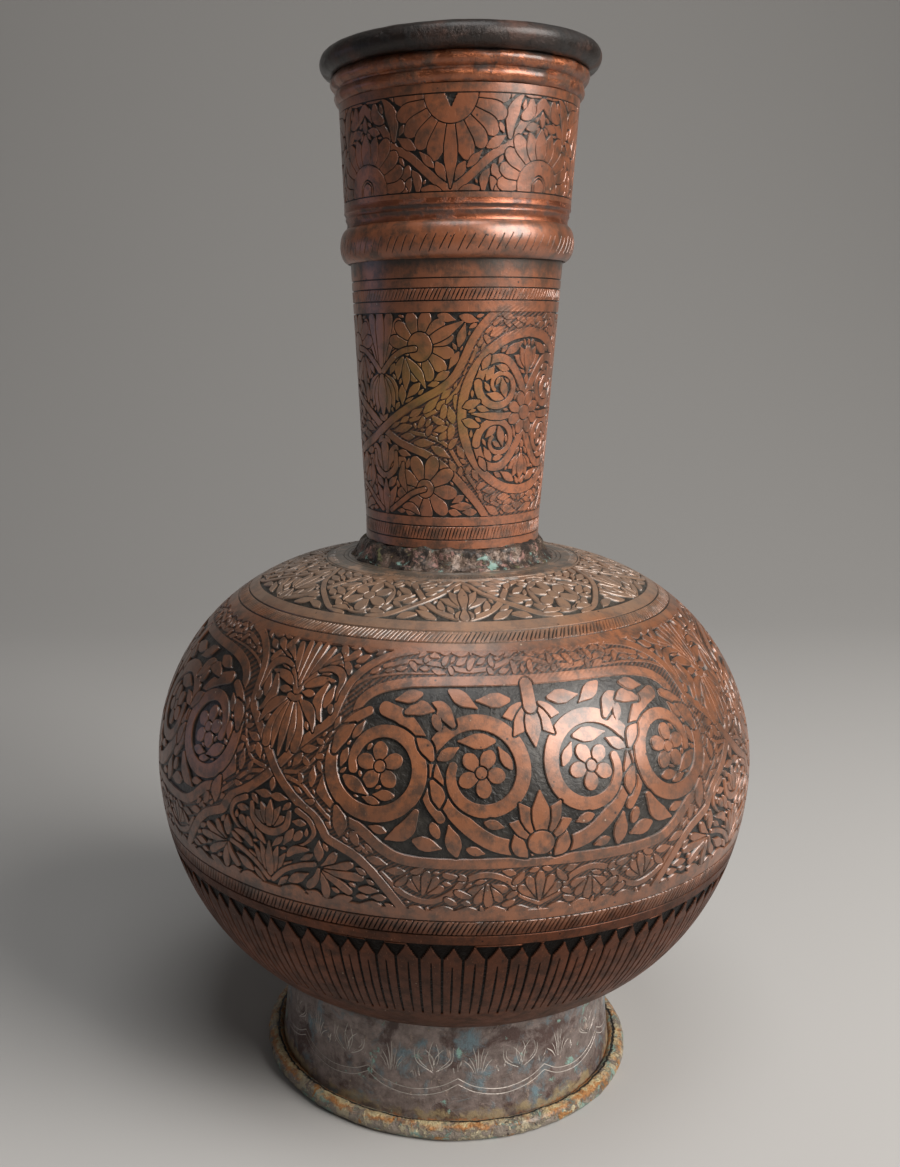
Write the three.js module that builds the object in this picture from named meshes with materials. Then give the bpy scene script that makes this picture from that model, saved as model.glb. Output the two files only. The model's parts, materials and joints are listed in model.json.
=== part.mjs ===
// A chased copper vase: rolled foot, round body of two raised halves, tapering neck, collar ring,
// cup-shaped mouth and a rolled lip. Millimetres, +Z up, origin on the table under the middle of the foot.

import * as THREE from 'three';

// Shared by every piece
const sides = 40; // facets round each turned piece
const clearance = 0.3; // air between two pieces that seat on each other
const sheet = 1.3; // copper sheet of the neck and the mouth

// Foot: a flared wall whose lower edge is rolled outward over an iron wire
const hemRadius = 79.6; // middle of the rolled hem, from the axis
const hemSection = 4; // radius of the roll itself
const hemWear = 0.5; // how much the roll is worn flat where it stands
const hemLip = 130; // degrees round the roll at which the sheet ends, beside the wall
const footSheet = 1;
const hemPlay = 0.45; // air between a rolled edge and the wire in it
const footTopRadius = 73; // outside of the wall where it meets the body
const footWaist = 0.9; // how far the wall is drawn in at half height
const footSteps = [0, 0.1, 0.3, 0.5, 0.75, 1]; // shares of the wall's height at which it bends
const footSolderReach = 4.5; // fillet of solder inside the top of the wall

// Body: two halves brazed together at the belly
const bellyRadius = 126.7;
const bellyHeight = 143; // above the table
const bowlDepth = 97.5; // from the belly down to the flat bottom
const bottomRadius = 52; // flat part of the bottom
const shoulderRise = 86.5; // from the belly up to the flat top
const topRadius = 41; // where the shoulder goes level
const bodyWall = 1.6;
const bodySteps = 9; // facets up each half
// Lines chased round the body above and below its bands, in degrees of its outline from the belly
const shoulderLines = [52.1, 55, 58.7, 62.3, 82.3];
const bowlLines = [-45.1, -18.7, -15.6, -11.9, -9.3];
const lineHalf = 0.4; // half the width of such a line, in degrees
const lineDepth = 0.7;
const strapHeight = 9; // brazed strap inside the belly
const strapThickness = 1;

// Neck: a collar raised from the shoulder, and a tapering tube over it
const neckFootRadius = 35.9; // outside of the tube at its lower edge
const neckTopRadius = 41.8; // outside of the tube at its upper edge
const neckFootGap = 7.7; // from the shoulder up to the tube's lower edge, filled with solder
const neckLength = 112;
const neckFlareStart = 0.12; // share of the length that stays nearly straight at the bottom
const collarLap = 6; // how far the shoulder's collar runs up inside the tube
const neckSteps = [0, 0.06, 0.12, 0.4, 0.7, 1]; // shares of the length at which the wall bends
const solderReach = 6.4; // how far the solder spreads over the shoulder
const solderSlope = [[0.62, 0.34], [0.38, 0.66], [0.2, 1]]; // hollow face: share of reach, of height

// Collar ring over the joint of neck and mouth
const ringHeight = 13.4;
const ringBulge = 3.7; // how far the ring stands out from the neck
const ringLap = 5; // how much of the ring lies below the top of the tube
const ringArc = [-78, 74]; // degrees of the half-round section, from the lower lip to the upper

// Mouth: cup, bulging collar and rolled lip
const coveRadius = 42.6; // the hollow just above the ring
const cupFootRadius = 43.3; // where the hollow meets the cup
const cupRadius = 45.6; // plain wall at the top of the cup
const cupTaper = 1.8; // how much narrower the wall is at the bottom
const coveHeight = 4.6;
const coveTop = 0.2; // share of that height where the hollow starts to open
const edgeBevel = 1.6; // height over which the hollow runs out into the wall
const cupHeight = 38.7; // from the top of the hollow up to the bulges
const bulgeHeight = 10.2; // both bulges together
// The two bulges: share of their height, and how far they stand out from the wall
const bulges = [[0.2, 1.6], [0.42, 1.6], [0.6, 2.9], [0.78, 3.4], [0.94, 2.5]];
const lipOut = 2.8; // how far the middle of the rolled lip stands out from the cup's wall
const lipSection = 4.4; // radius of the roll
const lipSheet = 0.9;
const lipSlit = 12; // degrees left open where the roll closes on itself
const lipSeat = 225; // degrees round the roll at which it closes, facing the cup
const wireSides = 8;

const lipRadius = cupRadius + lipOut; // middle of the rolled lip, from the axis

const copper = new THREE.MeshStandardMaterial({ color: 0x9c5638, roughness: 0.38, metalness: 1 });
const darkCopper = new THREE.MeshStandardMaterial({ color: 0x5a463d, roughness: 0.42, metalness: 1 });
const wornCopper = new THREE.MeshStandardMaterial({ color: 0x8a746b, roughness: 0.6, metalness: 1 });
const solder = new THREE.MeshStandardMaterial({ color: 0x8f8c80, roughness: 0.5, metalness: 1 });
const iron = new THREE.MeshStandardMaterial({ color: 0x5b4a3e, roughness: 0.8, metalness: 1 });

// A closed outline of [radius, height] pairs, turned round the upright axis
function turned(name, outline, material) {
  const points = outline.map(([radius, height]) => new THREE.Vector2(radius, height));
  const onAxis = outline[0][0] === 0;
  if (!onAxis) points.push(points[0].clone());
  const geometry = new THREE.LatheGeometry(points, sides);
  geometry.rotateX(Math.PI / 2);
  const mesh = new THREE.Mesh(geometry, material);
  mesh.name = name;
  return mesh;
}

// Points on an ellipse about [radius, height], at the given angles in degrees
function arc([radius, height], [wide, tall], angles) {
  return angles.map((degrees) => {
    const angle = THREE.MathUtils.degToRad(degrees);
    return [radius + wide * Math.cos(angle), height + tall * Math.sin(angle)];
  });
}

function evenly(from, to, steps) {
  return Array.from({ length: steps + 1 }, (_, i) => from + ((to - from) * i) / steps);
}

// Body outline, measured from the belly's height. inset is the distance inside the outer face.
function bowlArc(inset, angles) {
  const size = [bellyRadius - bottomRadius - inset, bowlDepth - inset];
  return arc([bottomRadius, 0], size, angles);
}

function shoulderArc(inset, angles) {
  const size = [bellyRadius - topRadius - inset, shoulderRise - inset];
  return arc([topRadius, 0], size, angles);
}

// Height of the bowl's outer face at a radius, measured from the belly
function bowlUnderside(radius) {
  const share = (radius - bottomRadius) / (bellyRadius - bottomRadius);
  return -bowlDepth * Math.sqrt(1 - Math.max(share, 0) ** 2);
}

// Foot wall: outer radius at a share of the way up from the hem to the body
function footWallRadius(share) {
  const straight = THREE.MathUtils.lerp(hemRadius - hemSection + footSheet, footTopRadius, share);
  return straight - footWaist * 4 * share * (1 - share);
}

function foot() {
  const hemHeight = hemSection - hemWear;
  const flatEdge = THREE.MathUtils.radToDeg(Math.asin(hemHeight / hemSection));
  const rollAngles = [210, 180 + flatEdge, 360 - flatEdge, 330, 360, 390, 420, 450, 360 + hemLip];
  const centre = [hemRadius, hemHeight];
  const inner = hemSection - footSheet;
  const topOf = (radius) => bellyHeight + bowlUnderside(radius) - clearance;
  const wall = (inset, share) => {
    const radius = footWallRadius(share) - inset;
    const top = topOf(footTopRadius - inset);
    return [radius, THREE.MathUtils.lerp(hemHeight, top, share)];
  };
  return [
    ...footSteps.toReversed().map((share) => wall(footSheet, share)),
    ...arc(centre, [hemSection, hemSection], rollAngles),
    ...arc(centre, [inner, inner], rollAngles.toReversed()),
    ...footSteps.map((share) => wall(0, share)),
  ];
}

// A round wire's section
function wire(centre, radius) {
  return arc(centre, [radius, radius], evenly(0, 360, wireSides).slice(0, -1));
}

function footHemWire() {
  return wire([hemRadius, hemSection - hemWear], hemSection - footSheet - hemPlay);
}

// Fillet inside the top of the wall: its outer face follows the wall, its upper face the body
function footSolder() {
  const under = (radius) => bellyHeight + bowlUnderside(radius) - 1.5 * clearance;
  const outer = footTopRadius - footSheet - clearance;
  const low = under(outer) - footSolderReach;
  const hemHeight = hemSection - hemWear;
  const lowShare = (low - hemHeight) / (under(outer) - hemHeight);
  const outerLow = Math.min(outer, footWallRadius(lowShare) - footSheet - clearance);
  return [
    [outerLow, low],
    [outer, under(outer)],
    [outer - footSolderReach, under(outer - footSolderReach)],
  ];
}

// Outer face of one half of the body, with its chased lines cut in
function chased(arcAt, lines, angles) {
  const plain = angles.filter((angle) => lines.every((line) => Math.abs(angle - line) > 2 * lineHalf));
  const cuts = lines.flatMap((line) => [
    [line - lineHalf, 0],
    [line, lineDepth],
    [line + lineHalf, 0],
  ]);
  return [...plain.map((angle) => [angle, 0]), ...cuts]
    .sort((a, b) => a[0] - b[0])
    .flatMap(([angle, inset]) => arcAt(inset, [angle]));
}

function bodyBowl() {
  const up = evenly(-90, 0, bodySteps);
  const outer = chased(bowlArc, bowlLines, up);
  const inner = bowlArc(bodyWall, up.toReversed());
  outer.at(-1)[1] -= clearance / 2;
  inner[0][1] -= clearance / 2;
  return [[0, -bowlDepth], ...outer, ...inner, [0, bodyWall - bowlDepth]];
}

function bodyShoulder() {
  const up = evenly(0, 90, bodySteps);
  const outer = chased(shoulderArc, shoulderLines, up);
  const inner = shoulderArc(bodyWall, up.toReversed());
  outer[0][1] += clearance / 2;
  inner[bodySteps][1] += clearance / 2;
  const collarOuter = neckFootRadius - sheet - clearance;
  const collarInner = collarOuter - bodyWall;
  const collarTop = shoulderRise + neckFootGap + collarLap;
  return [
    ...outer,
    [collarOuter, shoulderRise],
    [collarOuter, collarTop],
    [collarInner, collarTop],
    [collarInner, shoulderRise - bodyWall],
    ...inner,
  ];
}

function bodySeamBraze() {
  const outer = bellyRadius - bodyWall - 2 * clearance;
  const inner = outer - strapThickness;
  const half = strapHeight / 2;
  return [
    [inner, -half],
    [outer, -half],
    [outer, half],
    [inner, half],
  ];
}

// Solder round the neck's foot, measured from the shoulder's level top
function neckSolder() {
  const inner = neckFootRadius - sheet;
  const top = neckFootGap - clearance;
  return [
    [inner, clearance],
    [inner + solderReach, clearance],
    ...solderSlope.map(([out, up]) => [inner + solderReach * out, top * up]),
    [inner, top],
  ];
}

// Neck radius at a share of its length: straight at first, then an even taper
function neckRadius(share) {
  const taper = Math.max(share - neckFlareStart / 2, 0) / (1 - neckFlareStart / 2);
  const start = Math.min(share / neckFlareStart, 1);
  return neckFootRadius + (neckTopRadius - neckFootRadius) * taper * start;
}

function neckTube() {
  const wall = (inset) => (share) => [neckRadius(share) - inset, neckLength * share];
  return [...neckSteps.map(wall(0)), ...neckSteps.toReversed().map(wall(sheet))];
}

// Collar ring, measured from the top of the neck tube
function neckRing() {
  const bore = neckTopRadius + clearance;
  const middle = ringHeight / 2 - ringLap;
  const size = [ringBulge, ringHeight / 2];
  const section = arc([neckTopRadius, middle], size, evenly(...ringArc, 8));
  return [[bore, section[0][1]], ...section, [bore, section.at(-1)[1]]];
}

// Mouth, measured from the top of the collar ring
function neckCup() {
  const spigot = neckTopRadius;
  const spigotFoot = ringLap - ringHeight + 2 * clearance;
  const edge = coveHeight;
  const wallTop = edge + cupHeight;
  const outer = [
    [spigot, spigotFoot],
    [spigot, -clearance],
    [coveRadius, clearance],
    [coveRadius, edge * coveTop],
    [cupFootRadius, edge],
    [cupRadius - cupTaper, edge + edgeBevel],
    [cupRadius, wallTop],
    ...bulges.map(([share, out]) => [cupRadius + out, wallTop + bulgeHeight * share]),
    [cupRadius + sheet, wallTop + bulgeHeight],
  ];
  const hollow = bulges.toReversed();
  const inner = [
    [cupRadius, wallTop + bulgeHeight],
    ...hollow.map(([share, out]) => [cupRadius - sheet + out, wallTop + bulgeHeight * share]),
    [cupRadius - sheet, wallTop],
    [cupRadius - cupTaper - sheet, edge + edgeBevel],
    [coveRadius - sheet, edge * coveTop],
    [spigot - sheet, -sheet],
    [spigot - sheet, spigotFoot],
  ];
  return [...outer, ...inner];
}

// Rolled lip and its wire, measured from the middle of the roll
function mouthRim() {
  const angles = evenly(lipSeat + lipSlit / 2 - 360, lipSeat - lipSlit / 2, 10);
  const inner = lipSection - lipSheet;
  return [
    ...arc([lipRadius, 0], [lipSection, lipSection], angles),
    ...arc([lipRadius, 0], [inner, inner], angles.toReversed()),
  ];
}

function rimWire() {
  return wire([lipRadius, 0], lipSection - lipSheet - hemPlay);
}

const footGroup = new THREE.Group();
footGroup.add(
  turned('foot', foot(), wornCopper),
  turned('foot_hem_wire', footHemWire(), iron),
  turned('foot_solder', footSolder(), solder),
);

const bodyGroup = new THREE.Group();
bodyGroup.position.z = bellyHeight;
bodyGroup.add(
  turned('body_bowl', bodyBowl(), copper),
  turned('body_shoulder', bodyShoulder(), copper),
  turned('body_seam_braze', bodySeamBraze(), solder),
);

const neckSeat = new THREE.Group();
neckSeat.position.z = shoulderRise;
const neckFoot = new THREE.Group();
neckFoot.position.z = neckFootGap;
neckFoot.add(turned('neck_tube', neckTube(), copper));
neckSeat.add(turned('neck_solder', neckSolder(), solder), neckFoot);
bodyGroup.add(neckSeat);

const neckTop = new THREE.Group();
neckTop.position.z = neckLength;
neckTop.add(turned('neck_ring', neckRing(), copper));
neckFoot.add(neckTop);

const mouth = new THREE.Group();
mouth.position.z = ringHeight - ringLap;
mouth.add(turned('neck_cup', neckCup(), copper));
neckTop.add(mouth);

const lip = new THREE.Group();
const lipDrop = Math.sqrt(lipSection ** 2 - (lipRadius - cupRadius - sheet / 2) ** 2);
lip.position.z = coveHeight + cupHeight + bulgeHeight + clearance + lipDrop;
lip.add(turned('mouth_rim', mouthRim(), darkCopper), turned('rim_wire', rimWire(), iron));
mouth.add(lip);

const vase = new THREE.Group();
vase.add(footGroup, bodyGroup);

export default vase;
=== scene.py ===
import json
import math
from functools import partial

import bpy
import numpy as np
from mathutils import Matrix
from mathutils.geometry import delaunay_2d_cdt

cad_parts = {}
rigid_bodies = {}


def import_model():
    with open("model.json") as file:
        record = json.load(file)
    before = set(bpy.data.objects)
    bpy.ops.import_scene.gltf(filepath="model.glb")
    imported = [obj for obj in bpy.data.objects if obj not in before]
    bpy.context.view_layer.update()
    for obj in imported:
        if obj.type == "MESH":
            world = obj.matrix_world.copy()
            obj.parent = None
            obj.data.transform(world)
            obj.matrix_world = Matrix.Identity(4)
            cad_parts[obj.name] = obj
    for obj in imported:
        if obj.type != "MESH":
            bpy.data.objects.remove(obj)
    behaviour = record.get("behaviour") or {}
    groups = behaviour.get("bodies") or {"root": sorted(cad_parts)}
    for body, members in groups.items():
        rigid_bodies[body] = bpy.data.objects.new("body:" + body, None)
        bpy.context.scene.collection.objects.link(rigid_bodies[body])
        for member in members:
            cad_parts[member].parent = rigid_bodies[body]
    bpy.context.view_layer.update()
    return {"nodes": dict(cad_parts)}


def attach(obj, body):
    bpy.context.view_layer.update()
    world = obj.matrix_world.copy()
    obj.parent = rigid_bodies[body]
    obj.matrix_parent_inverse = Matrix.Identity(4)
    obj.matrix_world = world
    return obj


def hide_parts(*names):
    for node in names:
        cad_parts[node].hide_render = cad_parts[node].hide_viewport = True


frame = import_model()

# A chased copper vase. Sizes are in millimetres until a mesh is written, which is in metres.
MM = 0.001

# Outline of the vase, as in the solids
BELLY_RADIUS, BELLY_HEIGHT = 126.7, 143.0
BOWL_DEPTH, BOTTOM_RADIUS = 97.5, 52.0
SHOULDER_RISE, TOP_RADIUS = 86.5, 41.0
BODY_WALL, SHEET, RING_SHEET = 1.6, 1.3, 1.0
NECK_FOOT, NECK_TOP = 237.2, 349.2
NECK_FOOT_RADIUS, NECK_TOP_RADIUS = 35.9, 41.8
RING_FOOT, RING_TOP, RING_BULGE = 344.2, 357.6, 3.7
CUP_RADIUS, CUP_TAPER, CUP_WALL, CUP_WALL_TOP = 45.6, 1.8, 37.1, 400.9
LIP_RADIUS, LIP_HEIGHT, LIP_SECTION = 48.4, 415.2, 4.4
HEM_RADIUS, HEM_HEIGHT, HEM_SECTION = 79.6, 3.5, 4.0
FOOT_RADIUS, FOOT_TAPER, FOOT_WAIST, FOOT_RISE, FOOT_SHEET = 76.6, 3.6, 0.9, 45.6, 1.0

# Lines round the body, as lengths along its outline from the solder down
TICK_ROW = (8.0, 11.0)
SHOULDER_FRIEZE = (12.2, 41.5)
UPPER_ROPE = (46.9, 52.4)
MAIN_FRIEZE = (56.8, 151.0)
LOWER_ROPE = (155.5, 161.6)
PETAL_TOPS, PETAL_FEET = 166.8, 209.0
BODY_END = 238.0


# Outlines and the lengths along them

class Outline:
    """The outer face of a turned piece, from its top down: radius, height and outward normal."""

    def __init__(self, points):
        self.points = np.array(points, float)
        step = np.diff(self.points, axis=0)
        self.s = np.r_[0, np.cumsum(np.hypot(step[:, 0], step[:, 1]))]
        flat = np.gradient(self.points, self.s, axis=0)
        normal = np.stack([-flat[:, 1], flat[:, 0]], 1)
        self.normal = normal / np.linalg.norm(normal, axis=1, keepdims=True)

    def at(self, s):
        r, z = (np.interp(s, self.s, self.points[:, k]) for k in (0, 1))
        nr, nz = (np.interp(s, self.s, self.normal[:, k]) for k in (0, 1))
        length = np.hypot(nr, nz)
        return r, z, nr / length, nz / length


def quarter(centre, size, start, end, count):
    """Points along an ellipse, between two angles in degrees."""
    angle = np.radians(np.linspace(start, end, count))
    return np.stack([centre[0] + size[0] * np.cos(angle), centre[1] + size[1] * np.sin(angle)], 1)


def body_outline():
    upper = quarter((TOP_RADIUS, BELLY_HEIGHT), (BELLY_RADIUS - TOP_RADIUS, SHOULDER_RISE), 90, 0, 400)
    lower = quarter((BOTTOM_RADIUS, BELLY_HEIGHT), (BELLY_RADIUS - BOTTOM_RADIUS, BOWL_DEPTH), 0, -90, 400)
    return Outline(np.vstack([upper, lower[1:]]))


def neck_outline():
    height = np.linspace(NECK_TOP, NECK_FOOT, 200)
    share = (height - NECK_FOOT) / (NECK_TOP - NECK_FOOT)
    taper = np.maximum(share - 0.06, 0) / 0.94
    radius = NECK_FOOT_RADIUS + (NECK_TOP_RADIUS - NECK_FOOT_RADIUS) * taper * np.minimum(share / 0.12, 1)
    return Outline(np.stack([radius, height], 1))


def ring_outline():
    middle, half = (RING_FOOT + RING_TOP) / 2, (RING_TOP - RING_FOOT) / 2
    return Outline(quarter((NECK_TOP_RADIUS, middle), (RING_BULGE, half), 74, -78, 60))


def cup_outline():
    height = np.linspace(401.0, 364.5, 40)
    return Outline(np.stack([CUP_RADIUS - CUP_TAPER * (CUP_WALL_TOP - height) / CUP_WALL, height], 1))


def foot_outline():
    share = np.linspace(1, 0, 60)
    radius = FOOT_RADIUS - FOOT_TAPER * share - 4 * FOOT_WAIST * share * (1 - share)
    return Outline(np.stack([radius, HEM_HEIGHT + FOOT_RISE * share], 1))


# Drawing of one repeat of a band. Above zero is raised metal, below zero is cut ground.

def bend(points, spacing):
    """A smooth line through the points."""
    p = np.array(points, float)
    if len(p) == 2:
        count = max(2, int(np.hypot(*(p[1] - p[0])) / spacing) + 1)
        return p[0] + (p[1] - p[0]) * np.linspace(0, 1, count)[:, None]
    ends = np.vstack([2 * p[0] - p[1], p, 2 * p[-1] - p[-2]])
    out = []
    for a, b, c, d in zip(ends, ends[1:], ends[2:], ends[3:]):
        count = max(2, int(np.hypot(*(c - b)) / spacing) + 1)
        t = np.linspace(0, 1, count, endpoint=False)[:, None]
        out.append(0.5 * (2 * b + (c - a) * t + (2 * a - 5 * b + 4 * c - d) * t**2
                          + (3 * b - a - 3 * c + d) * t**3))
    return np.vstack(out + [p[-1:]])


def coil(centre, start, sweep, outer, inner):
    """Points of a spiral about centre, from the outer radius in to the inner one. Angles in degrees."""
    count = max(8, int(abs(sweep) / 14))
    angle = np.radians(start + np.linspace(0, sweep, count))
    radius = np.linspace(outer, inner, count)
    return np.stack([centre[0] + radius * np.cos(angle), centre[1] + radius * np.sin(angle)], 1)


# How wide a strip is at each share of its length
SHAPES = {
    "strap": lambda t: np.ones_like(t),
    "leaf": lambda t: np.sin(np.pi * np.clip(t, 0, 1) ** 0.85) ** 0.8 + 0.04,
    "petal": lambda t: np.clip(0.32 + 0.9 * t, 0, 1) * np.where(t > 0.86, 1 - 1.6 * (t - 0.86), 1),
    "lance": lambda t: np.clip(np.minimum(0.35 + 1.5 * t, (1.04 - t) * 2.3), 0.05, 1),
    "taper": lambda t: 1 - 0.62 * t,
    "swell": lambda t: 0.55 + 0.45 * np.sin(np.pi * t),
    "comma": lambda t: 1 - 0.85 * t**1.4,
    "drop": lambda t: np.clip(np.minimum(0.3 + 2.2 * t, (1.02 - t) * 1.9), 0.1, 1),
}
FINEST, COARSEST = 0.35, 0.9  # spacing of the points along a smooth line
PLAIN = 3.0  # value of plain metal, and below zero that of plain ground
FAR_OFF = 9.0  # no distance from a strip is counted beyond this


def half_widths(line, wide, shape):
    """Half the width of a strip of this shape at each point of its line."""
    along = np.r_[0, np.cumsum(np.hypot(*np.diff(line, axis=0).T))]
    return SHAPES[shape](along / max(along[-1], 1e-6)) * wide / 2


class Drawing:
    """One repeat of a band, opened flat. Points are degrees round the piece and lengths along its outline."""

    def __init__(self, radius, copies, tall, step, top=0.0, ground=False):
        self.copies, self.tall, self.top = copies, tall, top
        self.wide = radius * 2 * math.pi / copies
        self.scale = radius * math.pi / 180
        self.nx, self.ny = round(self.wide / step), round(tall / step)
        self.dx, self.dy = self.wide / self.nx, tall / self.ny
        self.x = (np.arange(self.nx + 1) * self.dx)[None]
        self.y = (np.arange(self.ny + 1) * self.dy)[:, None]
        self.f = np.full((self.ny + 1, self.nx + 1), -PLAIN if ground else PLAIN)
        self.hatch = np.zeros_like(self.f)

    def place(self, points):
        """Points of the drawing in millimetres from its upper left corner."""
        p = np.array(points, float)
        return np.stack([p[:, 0] * self.scale, p[:, 1] - self.top], 1)

    def both_sides(self, line, mirror):
        """The line, and before it its mirror image about an angle, if there is one."""
        return [line] if mirror is None else [line * [-1, 1] + [2 * mirror * self.scale, 0], line]

    def _window(self, low, high):
        i0, j0 = max(0, int(low[0] / self.dx)), max(0, int(low[1] / self.dy))
        i1 = min(self.nx + 1, int(high[0] / self.dx) + 2)
        j1 = min(self.ny + 1, int(high[1] / self.dy) + 2)
        return i0, i1, j0, j1

    def _distance(self, line, half, margin):
        """Distance outside a strip of varying half width, for each place it shows in the repeat."""
        for turn in (-1, 0, 1):
            p = line + [turn * self.wide, 0]
            reach = half.max() + margin
            i0, i1, j0, j1 = self._window(p.min(0) - reach, p.max(0) + reach)
            if i0 >= i1 or j0 >= j1:
                continue
            d = np.full((j1 - j0, i1 - i0), FAR_OFF)
            for a, b, ra, rb in zip(p[:-1], p[1:], half[:-1], half[1:]):
                reach = max(ra, rb) + margin
                k0, k1, l0, l1 = self._window(np.minimum(a, b) - reach, np.maximum(a, b) + reach)
                if k0 >= k1 or l0 >= l1:
                    continue
                x, y = self.x[:, k0:k1] - a[0], self.y[l0:l1] - a[1]
                u, v = b - a
                t = np.clip((x * u + y * v) / max(u * u + v * v, 1e-9), 0, 1)
                new = np.hypot(x - t * u, y - t * v) - (ra + t * (rb - ra))
                part = d[l0 - j0:l1 - j0, k0 - i0:k1 - i0]
                np.minimum(part, new, out=part)
            yield (slice(j0, j1), slice(i0, i1)), d

    def lay(self, points, wide, shape="strap", gap=0.8, mirror=None):
        """A raised strip along a smooth line, with a cut line of width gap round it."""
        line = bend(self.place(points), max(FINEST, min(COARSEST, wide)))
        half = half_widths(line, wide, shape)
        strips = [part for side in self.both_sides(line, mirror) for part in self._distance(side, half, gap + 0.6)]
        for where, d in strips:
            self.f[where] = np.minimum(self.f[where], d - gap)
        for where, d in strips:
            self.f[where] = np.maximum(self.f[where], -d)

    def lay_each(self, strips, mirror=None):
        """Raised strips one over another, each its points, width, shape and gap."""
        for points, wide, shape, gap in strips:
            self.lay(points, wide, shape, gap, mirror)

    def cut(self, points, wide, shape="strap"):
        """A graver's line."""
        line = bend(self.place(points), max(FINEST, min(COARSEST, wide * 2)))
        for where, d in self._distance(line, half_widths(line, wide, shape), 0.8):
            self.f[where] = np.minimum(self.f[where], d)

    def disc(self, centre, radii, gap=0.8, mirror=None):
        """A raised round boss."""
        self._round(centre, radii, mirror, lambda f, d: np.maximum(np.minimum(f, d - gap), -d))

    def hollow(self, centre, radii):
        """A round patch of cut ground."""
        self._round(centre, radii, None, np.minimum)

    def _round(self, centre, radii, mirror, paint):
        a, b = radii
        for [(x, y)] in self.both_sides(self.place([centre]), mirror):
            for turn in (-1, 0, 1):
                near = np.hypot((self.x - x - turn * self.wide) / a, (self.y - y) / b)
                self.f[:] = paint(self.f, np.clip((near - 1) * min(a, b), -FAR_OFF, FAR_OFF))

    def rows(self, low, high, metal=True):
        """Plain metal, or plain ground, between two lengths along the outline."""
        y = self.y + self.top
        d = np.maximum(low - y, y - high)
        self.f[:] = np.maximum(self.f, -d) if metal else np.minimum(self.f, d)

    def ring_lines(self, *lines):
        """Lines cut right round the piece, each its length along the outline and its width."""
        for s, wide in lines:
            self.f[:] = np.minimum(self.f, np.abs(self.y + self.top - s) - wide / 2)

    def mark_hatch(self, outline, value, mirror):
        """Marks the ground inside an outline as combed with fine lines, or clears it."""
        for p in self.both_sides(self.place(outline), mirror):
            inside = np.zeros(self.f.shape, bool)
            for (ax, ay), (bx, by) in zip(p, np.roll(p, -1, 0)):
                if ay != by:
                    crossing = (bx - ax) * (self.y - ay) / (by - ay) + ax
                    inside ^= ((ay > self.y) != (by > self.y)) & (self.x < crossing)
            self.hatch[inside] = value

    def sample(self, grid, p):
        """Values of a grid over the drawing at points in millimetres."""
        x = np.clip(p[:, 0] / self.dx, 0, self.nx - 1e-6)
        y = np.clip(p[:, 1] / self.dy, 0, self.ny - 1e-6)
        i, j = x.astype(int), y.astype(int)
        u, v = x - i, y - j
        return ((grid[j, i] * (1 - u) + grid[j, i + 1] * u) * (1 - v)
                + (grid[j + 1, i] * (1 - u) + grid[j + 1, i + 1] * u) * v)


# From a drawing to a mesh

ONE_POINT = 1e-5  # points nearer to each other than this are one
NO_AREA = 1e-9  # triangles smaller than half of this are left out


def level_lines(drawing, level):
    """Lines along which the drawing has this value, as chains of points."""
    f = drawing.f - level
    f = np.where(np.abs(f) < 1e-6, 1e-6, f)
    up = f > 0
    spot = {}
    for way, changes in enumerate((up[:, :-1] != up[:, 1:], up[:-1] != up[1:])):
        j, i = np.nonzero(changes)
        share = f[j, i] / (f[j, i] - f[j + way, i + 1 - way])
        for row, column, k in zip(j.tolist(), i.tolist(), share.tolist()):
            x, y = (column, row + k) if way else (column + k, row)
            spot[(row, column, way)] = (x * drawing.dx, y * drawing.dy)
    corners = up[:-1, :-1] * 1 + up[:-1, 1:] * 2 + up[1:, 1:] * 4 + up[1:, :-1] * 8
    joined = {}

    def join(a, b):
        joined.setdefault(a, []).append(b)
        joined.setdefault(b, []).append(a)

    for j, i in np.argwhere((corners > 0) & (corners < 15)).tolist():
        case = corners[j, i]
        top, bottom, left, right = (j, i, 0), (j + 1, i, 0), (j, i, 1), (j, i + 1, 1)
        if case in (5, 10):
            middle = f[j:j + 2, i:i + 2].mean() > 0
            if (case == 5) == middle:
                join(top, right)
                join(left, bottom)
            else:
                join(top, left)
                join(right, bottom)
            continue
        ends = [e for e in (top, right, bottom, left) if e in spot]
        join(ends[0], ends[1])
    chains = []
    loose = [k for k, v in joined.items() if len(v) == 1]
    seen = set()
    for start in loose + list(joined):
        if start in seen:
            continue
        chain, here, before = [start], start, None
        seen.add(start)
        while True:
            ahead = [k for k in joined[here] if k != before and k not in seen]
            if not ahead:
                break
            before, here = here, ahead[0]
            seen.add(here)
            chain.append(here)
        closed = len(chain) > 2 and chain[0] in joined[chain[-1]]
        chains.append((np.array([spot[k] for k in chain]), closed))
    return chains


def thin_out(p, tolerance):
    """Fewer points along a line, none further than tolerance from it."""
    keep = np.zeros(len(p), bool)
    keep[[0, -1]] = True
    todo = [(0, len(p) - 1)]
    while todo:
        a, b = todo.pop()
        if b - a < 2:
            continue
        u = p[b] - p[a]
        q = p[a + 1:b] - p[a]
        length = np.hypot(*u)
        d = np.abs(u[0] * q[:, 1] - u[1] * q[:, 0]) / length if length > 1e-9 else np.hypot(q[:, 0], q[:, 1])
        k = int(d.argmax())
        if d[k] > tolerance:
            keep[a + 1 + k] = True
            todo += [(a, a + 1 + k), (a + 1 + k, b)]
    return p[keep]


def split_long(p, longest):
    """The same line, with points put in so that no step is longer than longest."""
    out = [p[:1]]
    for a, b in zip(p[:-1], p[1:]):
        count = max(1, math.ceil(np.hypot(*(b - a)) / longest))
        out.append(a + (b - a) * np.linspace(0, 1, count + 1)[1:, None])
    return np.vstack(out)


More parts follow.
